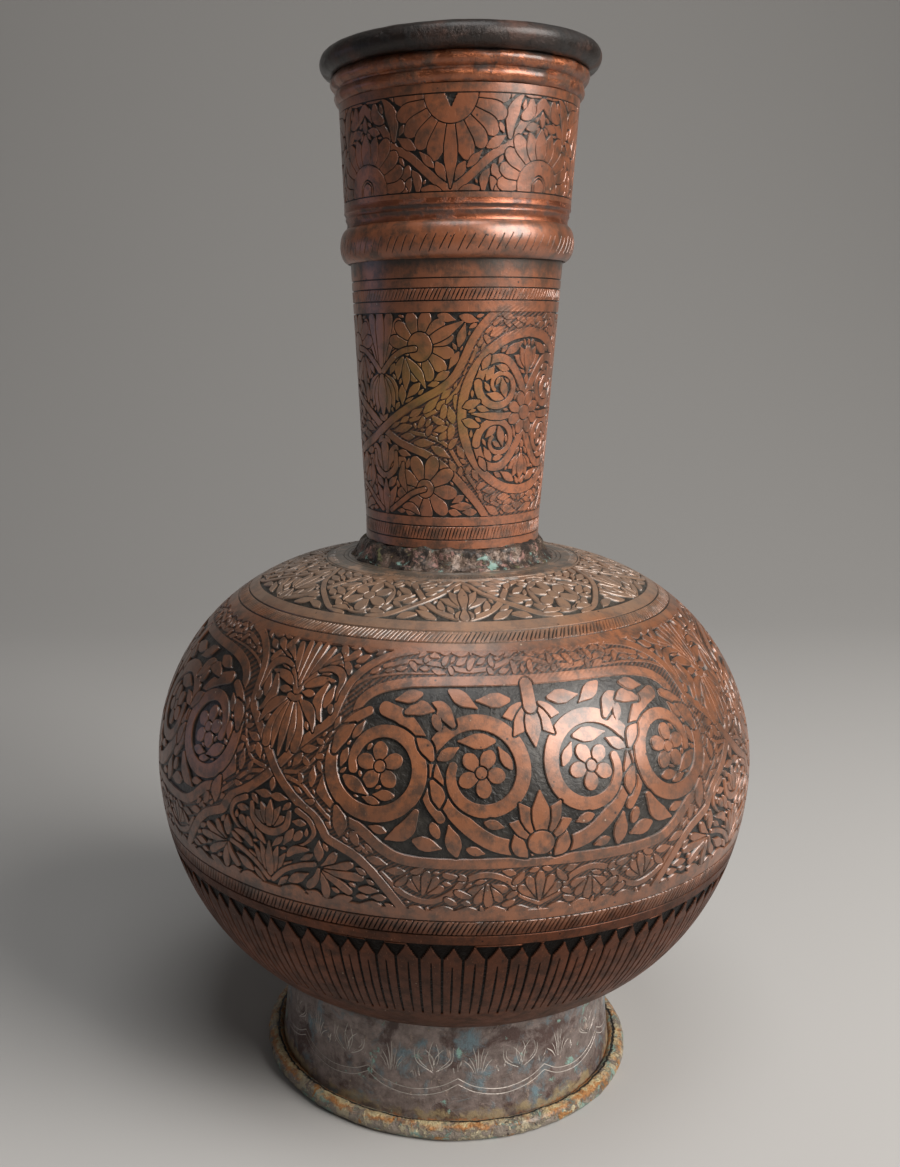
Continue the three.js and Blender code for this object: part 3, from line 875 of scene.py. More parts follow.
def draw_neck(rng):
    d = Drawing(38.5, 2, 112.0, 0.18)
    top, foot = 23.6, 99.5
    d.rows(top, foot, metal=False)

    # Lengths are counted from a line inside the collar ring, this far above the top of the drawing
    above = 3.8

    def y(s):
        return s - above

    def at(points):
        return [(x, y(s)) for x, s in points]

    # Leaf scroll between the outer strap and the roundel
    d.lay(at([(20, 66.5), (32, 64), (42, 59), (49, 53), (54, 45), (60, 36), (70, 30.5)]), 1.2, "strap", 0.6, 90)
    d.lay(at([(20, 71), (32, 72.5), (42, 76), (48, 82), (56, 89), (64, 95.5), (74, 99)]), 1.2, "strap", 0.6, 90)
    leaves(d, [(x, y(s), a, n, w) for x, s, a, n, w in (
        (28, 65, 110, 5, 2), (36, 62.5, -60, 4.6, 2), (40, 60.5, 95, 6.5, 2.4), (46, 57, 80, 5.5, 2.2),
        (51, 50, -80, 4.5, 1.8), (53, 47, 60, 4, 1.6), (58, 39.5, -70, 5, 1.9), (61, 35.5, 50, 4.4, 1.8),
        (66, 32, -50, 4, 1.8), (72, 30, 35, 4, 1.7), (80, 29.5, 10, 5, 2), (30, 72.2, -70, 4.6, 2),
        (37, 73.6, -40, 5.5, 2.2), (43, 77, -60, 5, 2.1), (44, 68, 90, 5.6, 2.6), (40, 67.5, 200, 5.5, 2.2),
        (50, 84, 100, 4.4, 1.8), (53, 86.5, -60, 4.6, 1.9), (60, 92.5, -40, 4.6, 2), (62, 94, 80, 4.4, 1.8),
        (69, 97.4, -50, 4.4, 1.8), (78, 99.2, -30, 5, 2), (86, 100, -10, 5, 2), (87, 29.6, 20, 5, 2))],
           18, gap=0.55, mirror=90)
    # Roundel ring and its scroll
    centre = (90, y(64))
    roundel = about(d, centre, [(27.0 * x, 29.6 * v) for x, v in coil((0, 0), -90, 180, 1, 1)])
    d.lay(roundel, 3.3, mirror=90)
    draw_roundel(d, centre)
    # Crossing straps
    strap = at([(70, 26), (62, 30.5), (55, 37), (50, 44.5), (45, 50.5), (38, 54.6), (30, 57.6), (20, 61.2), (10, 65.2),
                (0, 69.8), (-10, 74.2), (-20, 77), (-30, 79.4), (-38, 83), (-45, 87), (-53, 92.6), (-61, 98.6),
                (-67, 104)])
    d.lay([(-x, v) for x, v in strap], 2.7)
    d.lay(strap, 2.7)
    # Above the crossing: fan, hanging lotus, and a daisy on each side
    fan(d, (0, y(48.6)), -90, 96, 20.5, 3.7, 9, "petal", 0.06, 10, 0.6)
    fan(d, (0, y(49.6)), 90, 104, 15.4, 3.8, 7, "lance", 0.18, -26, 0.6)
    daisy(d, (26, y(39.6)), 4.8, 8.2, 3.9, 12, 12, mirror=0)
    d.lay(at([(26, 39.6), (38, 35.2), (50, 30.4)]), 3.8, "lance", 0.6, 0)
    d.disc((26, y(39.6)), (4.6, 5.2), 0.6, 0)
    for points, wide, shape in (([(1.5, 48.4), (9, 43.6), (16, 41), (23, 40.2)], 1.9, "strap"),
                                ([(16, 43.2), (21, 46), (26, 50), (29, 54.4)], 3.2, "lance"),
                                ([(16, 43.4), (17.5, 49), (17, 55.6)], 3.2, "lance"),
                                ([(15.5, 43.6), (12.6, 47), (12, 51.4)], 2.8, "lance")):
        d.lay(at(points), wide, shape, 0.6, 0)
    # Below the crossing: bud, stems and a daisy on each side
    fan(d, (0, y(88)), -90, 90, 12.6, 3.4, 5, "petal", 0.1, 24, 0.6)
    d.lay(at([(-9, 79), (-8, 85), (0, 88.4), (8, 85), (9, 79)]), 2.4, "swell", 0.6)
    fan(d, (0, y(103)), -90, 96, 13.5, 3.2, 5, "lance", 0.15, 14, 0.6)
    daisy(d, (28.5, y(92.4)), 3.4, 9.0, 4.4, 9, 8, mirror=0)
    for points, wide, shape in (([(4, 101.6), (12, 98), (20, 94.4), (28, 92.6)], 1.8, "strap"),
                                ([(14, 83), (13, 88.6), (16, 94)], 3.0, "lance"),
                                ([(13, 100), (19, 99.6), (25, 102.6)], 2.8, "leaf")):
        d.lay(at(points), wide, shape, 0.6, 0)
    fill_ground(d, top, foot, 0, 90, 0.5, 1.0, 3.0, 8, 90)
    d.mark_hatch([(abs(x), v) for x, v in strap] + [(90, y(104)), (90, y(26))], 1, 90)
    d.mark_hatch(roundel, 0, 90)
    d.rows(0, top)
    d.rows(foot, 112)
    upper_rope, lower_rope = (15.0, 19.4), (103.2, 108.5)
    d.ring_lines((top, 0.5), (foot, 0.5), *((s, 0.6) for s in (11.5, *upper_rope, *lower_rope)))
    rope(d, upper_rope, 80, 0.62, 1.7, rng)
    rope(d, lower_rope, 80, 0.6, 1.5, rng)
    return d


def draw_roundel(d, centre):
    """Four coils round a flower, inside a roundel."""
    axis = centre[0]
    for side in (-1, 1):
        stem = [(x, side * y) for x, y in ((0, 4), (3.4, 12), (10, 19.6), (17.4, 19), (21, 12))]
        d.lay(about(d, centre, stem), 2.8, "strap", 0.7, axis)
        curl = coil((12.4, side * 10.2), side * 6, side * -400, 8.8, 2.6)
        d.lay(about(d, centre, curl), 3.0, "taper", 0.7, axis)
        fan(d, *about(d, centre, [(0, side * 16)]), side * 90, 90, 9.6, 3.4, 5, "lance", 0.15, 14, 0.6)
        for x, y, turn, length, wide in ((20.6, 4.6, 20, 6.4, 3.2), (17, 21, 60, 5.4, 2.8)):
            leaf(d, *about(d, centre, [(x, side * y)]), 180 + side * turn, length, wide, 0, "lance", 0.6, axis)
    d.lay(about(d, centre, [(3, 0), (12, 1.2), (23.4, 0)]), 2.6, "lance", 0.6, axis)
    daisy(d, centre, 2.6, 5.2, 3.2, 8, 22)


# Cup: half daisies hang from the top and rise from the foot, in a bent lattice. 0 is a hanging one.

def draw_cup():
    d = Drawing(45.0, 4, 37.2, 0.17, ground=True)
    low, high = 3.1, 34.6
    # Stems of the lattice, from the foot at 0 up to the top at 45
    d.lay([(0, 34), (4, 32.6), (11, 28.2), (18, 23.6), (23, 21.2), (26.4, 20.4), (29.4, 17.4), (34, 12.4), (39, 9.2),
           (45, 5.2)], 2.7, "strap", 0.7, 45)
    # Leaves in the corners of the lattice
    d.lay_each([
        ([(27.4, 16.8), (27.6, 11), (30.6, 5.6), (33.4, 3.4)], 4.4, "lance", 0.6),
        ([(33, 10.6), (37.4, 8.6), (38.2, 4.2)], 3.8, "leaf", 0.6),
        ([(15.4, 34.6), (15.6, 30.6), (18.4, 27.2)], 3.2, "lance", 0.6),
        ([(19.8, 25.8), (21.6, 29.4), (24.2, 31)], 3.0, "leaf", 0.6),
        ([(20.6, 34.8), (20.2, 32), (18.6, 29.8)], 2.6, "leaf", 0.6)], 45)
    # Rising half daisy
    for angle in (8, 30, 52, 72):
        leaf(d, reach(d, (45, 32), angle, 7.6), angle, 9.4, 6.0, 0, "petal", 0.5, 45)
    for turn in (0, 10, 1, 9, 2, 8, 3, 7, 4, 6, 5):
        angle = -178 + turn * 17.6
        tall = 9.0 + 2.6 * math.cos(math.radians(angle + 90)) ** 2
        leaf(d, reach(d, (45, 32.6), angle, 7), angle, tall, 5.2, 0, "petal" if abs(turn - 5) > 1 else "lance", 0.5)
    d.disc((45, 32.6), (10.0, 8.6), 0.5)
    d.lay([(41.2, 34.8), (41.6, 31.2), (45, 29.4), (48.4, 31.2), (48.8, 34.8)], 0.2, "strap", 0.75)
    # Hanging half daisy
    for turn in (0, 10, 1, 9, 2, 8, 3, 7, 4, 6):
        angle = 1 + turn * 17.8
        size = 12.6 if turn in (4, 6) else 11.4
        leaf(d, reach(d, (0, 3.4), angle, 7.2), angle, size, 5.9, 0, "petal", 0.5)
    d.lay([(0, 10), (0, 20), (0, 33.4)], 4.6, "lance", 0.55)
    d.disc((0, 2.6), (9.4, 10.0), 0.5)
    fill_ground(d, low, high, 0, 45, 0.5, 1.25, 5.0, 14, 45)
    for k in range(6):
        d.hollow((0, 1.6 + k), (3.4 - k * 0.55, 1.0))
    d.rows(-1, low)
    d.rows(high, 40)
    d.ring_lines((low, 0.55), (high, 0.55), (0.6, 0.35))
    return d


# Collar ring: slanting cuts over a half-round

def draw_ring(rng, length):
    d = Drawing(45.5, 4, length, 0.2)
    low, count = length * 0.26, 20
    for k in range(count):
        x = (k + 0.5 + rng.uniform(-0.14, 0.14)) * 90 / count
        tilt, foot = rng.uniform(2.8, 3.7), low + 9.4 + rng.uniform(-0.6, 0.4)
        d.cut([(x - tilt, foot), (x - tilt * 0.55, foot - 2.0), (x + tilt * 0.45, low + 2.2),
               (x + tilt, low + rng.uniform(-0.4, 0.4))], 0.6, "swell")
    return d


# Foot wall: lotus buds and a double scallop scratched through the patina

def draw_foot(rng, length):
    d = Drawing(75.0, 3, length, 0.2)
    thin = 0.56
    for bud in range(8):
        x = (bud + 0.5 + rng.uniform(-0.12, 0.12)) * 15
        foot = 23.8 + rng.uniform(-1.6, 1.2)
        tall = rng.uniform(12.5, 15.5)
        if bud % 2:
            # A closed bud of three petals, each drawn with two lines
            for lean, belly, share in [(-3.4, 2.4, 0.8), (0, 1.6, 1.0), (3.6, 2.4, 0.84)]:
                top = (x + lean * 1.2, foot - tall * share * rng.uniform(0.92, 1.06))
                for side in (-1, 1):
                    d.cut([(x + lean * 0.15, foot), (x + lean * 0.8 + side * belly, foot - tall * share * 0.5), top],
                          thin * rng.uniform(0.8, 1.1), "swell")
            for side in (-1, 1):
                d.cut([(x, foot + 0.4), (x + side * 5.6, foot - tall * 0.3), (x + side * 6.2, foot - tall * 0.78)],
                      thin, "swell")
        else:
            # An open tuft of long blades
            for lean in (-5.8, -3.9, -2.0, -0.4, 1.7, 3.6, 5.4):
                size = tall * (1.04 - 0.1 * abs(lean)) * rng.uniform(0.85, 1.1)
                d.cut([(x + lean * 0.25, foot), (x + lean * 0.5, foot - size * 0.55),
                       (x + lean * rng.uniform(0.85, 1.15), foot - size)], thin * rng.uniform(0.8, 1.15), "swell")
        for k in range(5):
            side = x + 7.5 + rng.uniform(-2.0, 2.0)
            low = foot + rng.uniform(-2, 1.5)
            d.cut([(side, low), (side + rng.uniform(-1.4, 1.4), low - rng.uniform(2, 5))], thin * 0.8, "swell")
    for k in range(4):
        x = k * 30
        for low in (24.8, 27.4):
            drop = rng.uniform(-0.5, 0.5)
            d.cut([(x, low), (x + 6, low + 4.2 + drop), (x + 15, low + 6.0 + drop), (x + 24, low + 4.0 + drop),
                   (x + 30, low)], thin * 0.84)
    return d


# The vase, band by band

def dents(seed, size, depth):
    """Shallow unevenness left by the hammer."""
    waves = np.random.default_rng(seed)
    turns, climbs, phases = waves.integers(2, 9, 7), waves.uniform(-size, size, 7), waves.uniform(0, 6.28, 7)

    def lift(angle, s):
        return -depth * np.mean([0.5 + 0.5 * np.sin(t * angle + c * s + p)
                                 for t, c, p in zip(turns, climbs, phases)], axis=0)
    return lift


rng = np.random.default_rng(11)
body, ring, foot = body_outline(), ring_outline(), foot_outline()
body_dents = dents(2, 0.05, 0.3)
shoulder = chased_piece("shoulder", body, draw_shoulder(rng), -1, 0.75, BODY_WALL, 0.2, 0.045, 4.5, body_dents)
main_frieze = chased_piece("main_frieze", body, draw_main_frieze(), -35, 0.95, BODY_WALL, 0.23, 0.05, 5.0,
                           body_dents)
lower_body = chased_piece("lower_body", body, draw_lower_body(rng), -35, 0.7, BODY_WALL, 0.2, 0.045, 5.0,
                          body_dents)
neck_relief = chased_piece("neck_relief", neck_outline(), draw_neck(rng), -50, 0.65, SHEET, 0.15, 0.035, 3.0,
                           dents(4, 0.05, 0.15))
collar_ring = chased_piece("collar_ring", ring, draw_ring(rng, float(ring.s[-1])), 0, 0.45, RING_SHEET, 0.18, 0.03,
                           1.1)
cup_frieze = chased_piece("cup_frieze", cup_outline(), draw_cup(), -8, 0.7, SHEET, 0.13, 0.035, 3.0,
                          dents(5, 0.05, 0.15))
foot_wall = chased_piece("foot_wall", foot, draw_foot(rng, float(foot.s[-1])), 0, 0.22, FOOT_SHEET, 0.14, 0.035,
                         3.0, dents(6, 0.1, 0.3))


# Plain pieces, drawn out ring by ring

def start_fresh():
    bpy.ops.object.select_all(action="DESELECT")


def settle(piece, name, angle=40):
    """Names a finished piece and puts its place into its mesh."""
    piece.name = piece.data.name = name
    bpy.ops.object.transform_apply(location=True, rotation=True, scale=True)
    bpy.ops.object.shade_smooth_by_angle(angle=math.radians(angle))
    return piece


def close_ends():
    """Joins the two open edges of the mesh that is being edited."""
    bpy.ops.mesh.select_all(action="DESELECT")
    bpy.ops.mesh.select_non_manifold()
    bpy.ops.mesh.bridge_edge_loops()


def draw_out(name, profile, joined=True, sides=192):
    """A circle extruded and resized along a profile, its two ends then joined, or the last one drawn to a point."""
    start_fresh()
    radius, height = profile[0]
    bpy.ops.mesh.primitive_circle_add(vertices=sides, radius=radius * MM, location=(0, 0, height * MM))
    piece = bpy.context.object
    bpy.ops.object.mode_set(mode="EDIT")
    bpy.ops.mesh.select_all(action="SELECT")
    for (r0, z0), (r1, z1) in zip(profile, profile[1:]):
        bpy.ops.mesh.extrude_edges_move(TRANSFORM_OT_translate={"value": (0, 0, (z1 - z0) * MM)})
        bpy.ops.transform.resize(value=(r1 / r0, r1 / r0, 1), center_override=(0, 0, 0))
    if joined:
        close_ends()
    else:
        bpy.ops.mesh.merge(type="CENTER")
    bpy.ops.mesh.select_all(action="SELECT")
    bpy.ops.mesh.normals_make_consistent(inside=False)
    bpy.ops.object.mode_set(mode="OBJECT")
    return settle(piece, name)


def roll(name, radius, height, section, around, across):
    """A rolled edge."""
    start_fresh()
    bpy.ops.mesh.primitive_torus_add(major_segments=around, minor_segments=across, major_radius=radius * MM,
                                     minor_radius=section * MM, location=(0, 0, height * MM))
    return settle(bpy.context.object, name, 80)


def finish_with(piece, kind, **settings):
    """Adds a modifier and applies it."""
    modifier = piece.modifiers.new(kind.lower(), kind)
    for key, value in settings.items():
        setattr(modifier, key, value)
    bpy.context.view_layer.objects.active = piece
    bpy.ops.object.modifier_apply(modifier=modifier.name)


def batter(piece, level, *blows):
    """Soft lumps and dents: how wide each set is, how strong and how detailed. The level is what stays in place."""
    for size, strength, detail in blows:
        pattern = bpy.data.textures.new(piece.name + " dents", "CLOUDS")
        pattern.noise_scale, pattern.noise_depth = size * MM, detail
        finish_with(piece, "DISPLACE", texture=pattern, strength=strength * MM, mid_level=level,
                    texture_coords="LOCAL")


bottom_line = [tuple(map(float, body.at(s)[:2])) for s in np.linspace(BODY_END, body.s[-1], 14)]
bowl_bottom = draw_out("bowl_bottom", bottom_line + [(r, 45.5) for r in (44, 30, 12, 4)], joined=False)
finish_with(bowl_bottom, "SOLIDIFY", thickness=BODY_WALL * MM, offset=-1)

cup_base = draw_out("cup_base", [
    (43.83, 364.5), (43.75, 363.4), (43.85, 363.0), (43.8, 362.5), (43.45, 362.2), (43.25, 361.5), (43.2, 360.8),
    (43.35, 360.5), (43.2, 360.1), (42.85, 359.3), (42.7, 358.5), (42.75, 357.8), (42.9, 357.35), (42.6, 357.1),
    (41.8, 356.9), (41.8, 349.9), (40.5, 349.9), (40.5, 356.4), (41.4, 358.6), (42.5, 364.5)])

cup_collar = draw_out("cup_collar", [
    (45.6, 401.0), (46.1, 401.3), (46.9, 402.3), (47.25, 403.5), (47.1, 404.7), (46.6, 405.4), (46.75, 405.9),
    (47.9, 406.6), (48.75, 407.7), (48.95, 408.9), (48.6, 409.9), (47.9, 410.8), (47.2, 411.6), (45.6, 411.8),
    (46.6, 410.0), (47.4, 408.6), (46.6, 407.2), (45.3, 406.0), (45.7, 403.6), (44.3, 401.0)])
batter(cup_collar, 0.56, (11, 1.3, 3), (3, 0.45, 3))

lip = roll("lip", LIP_RADIUS, LIP_HEIGHT, LIP_SECTION, 192, 28)
batter(lip, 0.6, (26, 0.5, 3), (6, 0.25, 3))

hem = roll("hem", HEM_RADIUS, HEM_HEIGHT, HEM_SECTION, 480, 40)
batter(hem, 0.62, (22, 0.8, 3), (5, 0.6, 3), (1.6, 0.35, 3))
# The hem is worn flat where it stands
bpy.context.view_layer.objects.active = hem
bpy.ops.object.mode_set(mode="EDIT")
bpy.ops.mesh.select_all(action="SELECT")
bpy.ops.mesh.bisect(plane_co=(0, 0, 0), plane_no=(0, 0, 1), clear_inner=True, use_fill=False)
close_ends()
bpy.ops.object.mode_set(mode="OBJECT")

inner_collar = draw_out("inner_collar", [
    (34.3, 227.9), (34.3, 243.0), (34.1, 243.2), (32.9, 243.2), (32.7, 243.0), (32.7, 227.9)])

neck_fillet = draw_out("neck_fillet", [
    (35.2, 237.5), (36.0, 237.4), (36.9, 236.9), (37.6, 236.1), (38.1, 235.1), (38.5, 234.0), (38.9, 232.9),
    (39.4, 231.9), (40.0, 230.9), (40.8, 230.1), (41.6, 229.7), (41.8, 229.3), (40.5, 229.0), (37.5, 229.3),
    (35.0, 230.5), (34.9, 234.5), (34.9, 237.2)], sides=360)
batter(neck_fillet, 0.5, (7.5, 2.6, 0), (3.0, 1.3, 1), (1.0, 0.3, 2))


# Colours and nodes

def linear(colour):
    """An sRGB hex colour as linear red, green, blue and alpha."""
    parts = [int(colour[k:k + 2], 16) / 255 for k in (1, 3, 5)]
    return [c / 12.92 if c <= 0.04045 else ((c + 0.055) / 1.055)**2.4 for c in parts] + [1.0]


def add(tree, kind, inputs=None, out=0, **settings):
    """Adds a node with its own settings, fills its inputs with values or links, and gives one of its outputs."""
    node = tree.nodes.new(kind)
    for key, value in settings.items():
        setattr(node, key, value)
    for key, value in (inputs or {}).items():
        if isinstance(value, bpy.types.NodeSocket):
            tree.links.new(value, node.inputs[key])
        else:
            node.inputs[key].default_value = value
    return node.outputs[out] if node.outputs else None


def new_nodes(owner):
    """Clears the nodes of a material or world, and gives the function that adds to them."""
    owner.use_nodes = True
    owner.node_tree.nodes.clear()
    return partial(add, owner.node_tree)


def per_mm(size):
    """Noise scale for features this many millimetres across."""
    return 1 / (size * MM)


def layered(node, colour, layers):
    """A colour with others laid over it in turn, each as thickly as its amount says."""
    for amount, over in layers:
        colour = node("ShaderNodeMix", {"Factor": amount, 6: colour, 7: over}, 2, data_type="RGBA")
    return colour


def ragged_band(node, value, noise, ragged, middle, reach, core, strength=1.0):
    """Full within core of the middle and gone at reach, with an edge that the noise makes ragged. In millimetres."""
    value = node("ShaderNodeMath", {0: noise, 1: ragged * MM, 2: value}, operation="MULTIPLY_ADD")
    off = node("ShaderNodeMath", {0: value, 1: (middle + ragged / 2) * MM}, operation="SUBTRACT")
    off = node("ShaderNodeMath", {0: off}, operation="ABSOLUTE")
    return node("ShaderNodeMapRange", {"Value": off, 1: reach * MM, 2: core * MM, 4: strength})


def metal_surface(node, height, bump_mm, bump_strength, wax_ior, **inputs):
    """The shader of a metal under a thin film of wax, with a relief too fine for the mesh."""
    bump = node("ShaderNodeBump", {"Height": height, "Distance": bump_mm * MM, "Strength": bump_strength})
    inputs = {key.replace("_", " ").title(): value for key, value in inputs.items()}
    shader = node("ShaderNodeBsdfPrincipled", {**inputs, "Normal": bump, "Coat IOR": wax_ior, "Coat Roughness": 0.3})
    node("ShaderNodeOutputMaterial", {"Surface": shader})


BODY_SHADES = ("#935b39", "#724830", "#453327", "#1a1714", "#35312b")
BODY_WAX, BODY_METAL, GROUND_METAL = 0.75, 0.3, 0.3
SCRATCHED, PALE_SPECK, CRACK = "#b98464", "#b9a48e", "#17120e"


def chased_copper(name, shades, roughness=0.46, wax=BODY_WAX, shade_and_grime=None, olive=None, metal_share=BODY_METAL,
                  ground_metal=GROUND_METAL, from_body=None):
    """Old copper, chased and rubbed by hand: reddish high metal over dark, matted ground.

    The shades are the rubbed metal, its brown, its dull stains, the ground and the ground's dust, which also colours
    the band of painted shade. In millimetres, shade_and_grime is a height and a reach of a dark band of painted shade
    with some grime, olive a colour, a place and a reach, and from_body the height where the piece has the body's
    shades and the one where it has its own."""
    material = bpy.data.materials.new(name)
    node = new_nodes(material)
    where = node("ShaderNodeTexCoord", out="Object")
    z = node("ShaderNodeSeparateXYZ", {0: where}, "Z") if from_body or shade_and_grime else None
    shades = [linear(shade) for shade in shades]
    if from_body:
        # Where the piece meets the frieze it has the frieze's brown, and its own shades further off
        cloud = node("ShaderNodeTexNoise", {"Vector": where, "Scale": per_mm(25), "Detail": 4})
        fray = 12
        uneven = node("ShaderNodeMath", {0: cloud, 1: fray * MM, 2: z}, operation="MULTIPLY_ADD")
        begins, ends = ((height + fray / 2) * MM for height in from_body)
        own = node("ShaderNodeMapRange", {"Value": uneven, 1: begins, 2: ends}, interpolation_type="SMOOTHSTEP")
        shades = [layered(node, linear(body), [(own, shade)]) for body, shade in zip(BODY_SHADES, shades)]
        wax, metal_share, ground_metal = (
            node("ShaderNodeMapRange", {"Value": own, 3: at_body, 4: here})
            for at_body, here in ((BODY_WAX, wax), (BODY_METAL, metal_share), (GROUND_METAL, ground_metal)))
    warm, brown, dull, ground, dust_and_shade = shades
    cut, hatch = (node("ShaderNodeAttribute", out="Fac", attribute_name=label) for label in ("cut", "hatch"))
    patches, mottle, grain, swell, punch = (
        node("ShaderNodeTexNoise", {"Vector": where, "Scale": per_mm(size), **more}) for size, more in (
            (45, {"Detail": 5, "Roughness": 0.62}), (6, {"Detail": 6, "Roughness": 0.7}), (1.1, {"Detail": 3}),
            (14, {"Detail": 2}), (2.4, {"Detail": 3, "Distortion": 0.8})))
    rubbed = node("ShaderNodeMapRange", {"Value": patches, 1: 0.38, 2: 0.64})
    stain = node("ShaderNodeMapRange", {"Value": mottle, 1: 0.45, 2: 0.62, 4: 0.85})
    layers = [(rubbed, warm), (stain, dull)]
    if olive:
        colour, place, reach_mm = olive
        far = node("ShaderNodeVectorMath", {0: where, 1: [v * MM for v in place]}, "Value", operation="DISTANCE")
        near = node("ShaderNodeMapRange", {"Value": far, 1: reach_mm * MM, 2: 0.0, 4: 0.8})
        layers.append((node("ShaderNodeMath", {0: near, 1: rubbed}, operation="MULTIPLY"), linear(colour)))
    if shade_and_grime:
        # Painted shade, with some grime, in a dark band about one height: under an overhang or where two parts meet
        middle, reach_mm = shade_and_grime
        layers.append((ragged_band(node, z, mottle, 7, middle, reach_mm, reach_mm * 0.2, 0.85), dust_and_shade))
    # Fine scratches, one set leaning each way
    scratches = []
    for lean, wide, long in ((0.5, 0.45, 14), (-0.9, 0.4, 9)):
        drawn = node("ShaderNodeMapping", {"Vector": where, "Rotation": (0.2, lean, 0.4),
                                           "Scale": (per_mm(wide), per_mm(wide), per_mm(long))})
        lines = node("ShaderNodeTexNoise", {"Vector": drawn, "Scale": 1.0, "Detail": 2})
        scratches.append(node("ShaderNodeMapRange", {"Value": lines, 1: 0.68, 2: 0.76}))
    scratch = node("ShaderNodeMath", dict(enumerate(scratches)), operation="MAXIMUM")
    # Small pale specks and tiny dark pits
    dot, pit = (
        node("ShaderNodeMapRange", {"Value": node("ShaderNodeTexVoronoi", {"Vector": where, "Scale": per_mm(apart)}),
                                    1: edge, 2: core, 4: strength})
        for apart, edge, core, strength in ((5.5, 0.075, 0.05, 0.8), (7, 0.07, 0.045, 0.85)))
    dot_size = node("ShaderNodeMapRange", {"Value": mottle, 1: 0.51, 2: 0.57})
    layers += [(node("ShaderNodeMath", {0: scratch, 1: 0.35}, operation="MULTIPLY"), linear(SCRATCHED)),
               (node("ShaderNodeMath", {0: dot, 1: dot_size}, operation="MULTIPLY"), linear(PALE_SPECK)),
               (pit, ground)]
    # Matted ground with grey dust in it, combed with fine lines where the piece is hatched
    dusty = node("ShaderNodeMapRange", {"Value": mottle, 1: 0.42, 2: 0.7})
    leaning = node("ShaderNodeMapping", {"Vector": where, "Rotation": (0, 0.62, 0)})
    comb = node("ShaderNodeTexWave", {"Vector": leaning, "Scale": per_mm(1.25) / 6.28 * 2, "Distortion": 1.2,
                                      "Detail": 1, "Detail Scale": 0.6}, "Fac", bands_direction="Z")
    tooth = node("ShaderNodeMath", {0: comb, 1: hatch}, operation="MULTIPLY")
    combed = node("ShaderNodeMath", {0: tooth, 1: 0.6}, operation="MULTIPLY")
    low = layered(node, ground, [(dusty, dust_and_shade), (combed, brown)])
    depth = node("ShaderNodeMapRange", {"Value": cut, 1: 0.3, 2: 0.9})
    sheen = node("ShaderNodeMapRange", {"Value": mottle, 1: 0.3, 2: 0.75, 3: roughness - 0.06, 4: roughness + 0.16})
    # Relief too fine for the mesh
    height = node("ShaderNodeMath", {0: swell, 1: 1.3}, operation="MULTIPLY")
    matting = node("ShaderNodeMath", {0: punch, 1: depth}, operation="MULTIPLY")
    for part, share in ((mottle, 0.45), (grain, 0.05), (scratch, -0.09), (tooth, 0.12), (matting, 1.4)):
        height = node("ShaderNodeMath", {0: part, 1: share, 2: height}, operation="MULTIPLY_ADD")
    coat = node("ShaderNodeMapRange", {"Value": depth, 3: 1.0, 4: 0.55})
    metal_surface(node, height, 0.6, 0.8, 1.6, base_color=layered(node, brown, layers + [(depth, low)]),
                  roughness=node("ShaderNodeMix", {"Factor": depth, 2: sheen, 3: 0.5}),
                  metallic=node("ShaderNodeMapRange", {"Value": depth, 3: metal_share, 4: ground_metal}),
                  coat_weight=node("ShaderNodeMath", {0: coat, 1: wax}, operation="MULTIPLY"))
    return material


# Copper, hammered and chased, then darkened in its ground and rubbed: satin red-brown high metal over near-black
body_copper = chased_copper("chased copper, rubbed brown", BODY_SHADES)
# The same, where dust settles and nobody rubs: paler and greyer, with a dull sheen, and a band of painted shade at its
# top where the solder meets it
shoulder_copper = chased_copper(
    "chased copper, dusty", ("#9a775d", "#89705d", "#746052", "#2b2722", "#4f4a42"), 0.44,
    shade_and_grime=(229.5, 1.4), from_body=(210, 221))
# The same, where it is hardly waxed: deep brown and a little duller, its cuts black; darker towards the bottom partly
# as painted shade on the underside, with a band of painted shade where the foot meets it
skirt_copper = chased_copper(
    "chased copper, brown", ("#683a23", "#4e2c1c", "#3a2419", "#120d0a", "#191310"), 0.5, 0.06,
    shade_and_grime=(49, 5), metal_share=0.8, ground_metal=0.95, from_body=(126, 115))
# The same, gripped round the neck: redder and shinier, with olive tarnish on one side and a band of painted shade,
# with some grime, under the collar ring
neck_copper = chased_copper(
    "chased copper, red", ("#a86643", "#83523a", "#513b2d", "#1a1714", "#332f29"), 0.36,
    shade_and_grime=(344.6, 5.5), olive=("#9a7b38", (-14, -33, 292), 38))
# The same, handled most: warm orange-brown with a soft gleam
cup_copper = chased_copper(
    "chased copper, handled smooth", ("#a4603b", "#7c4b33", "#4a3527", "#1c1815", "#39332b"), 0.37)


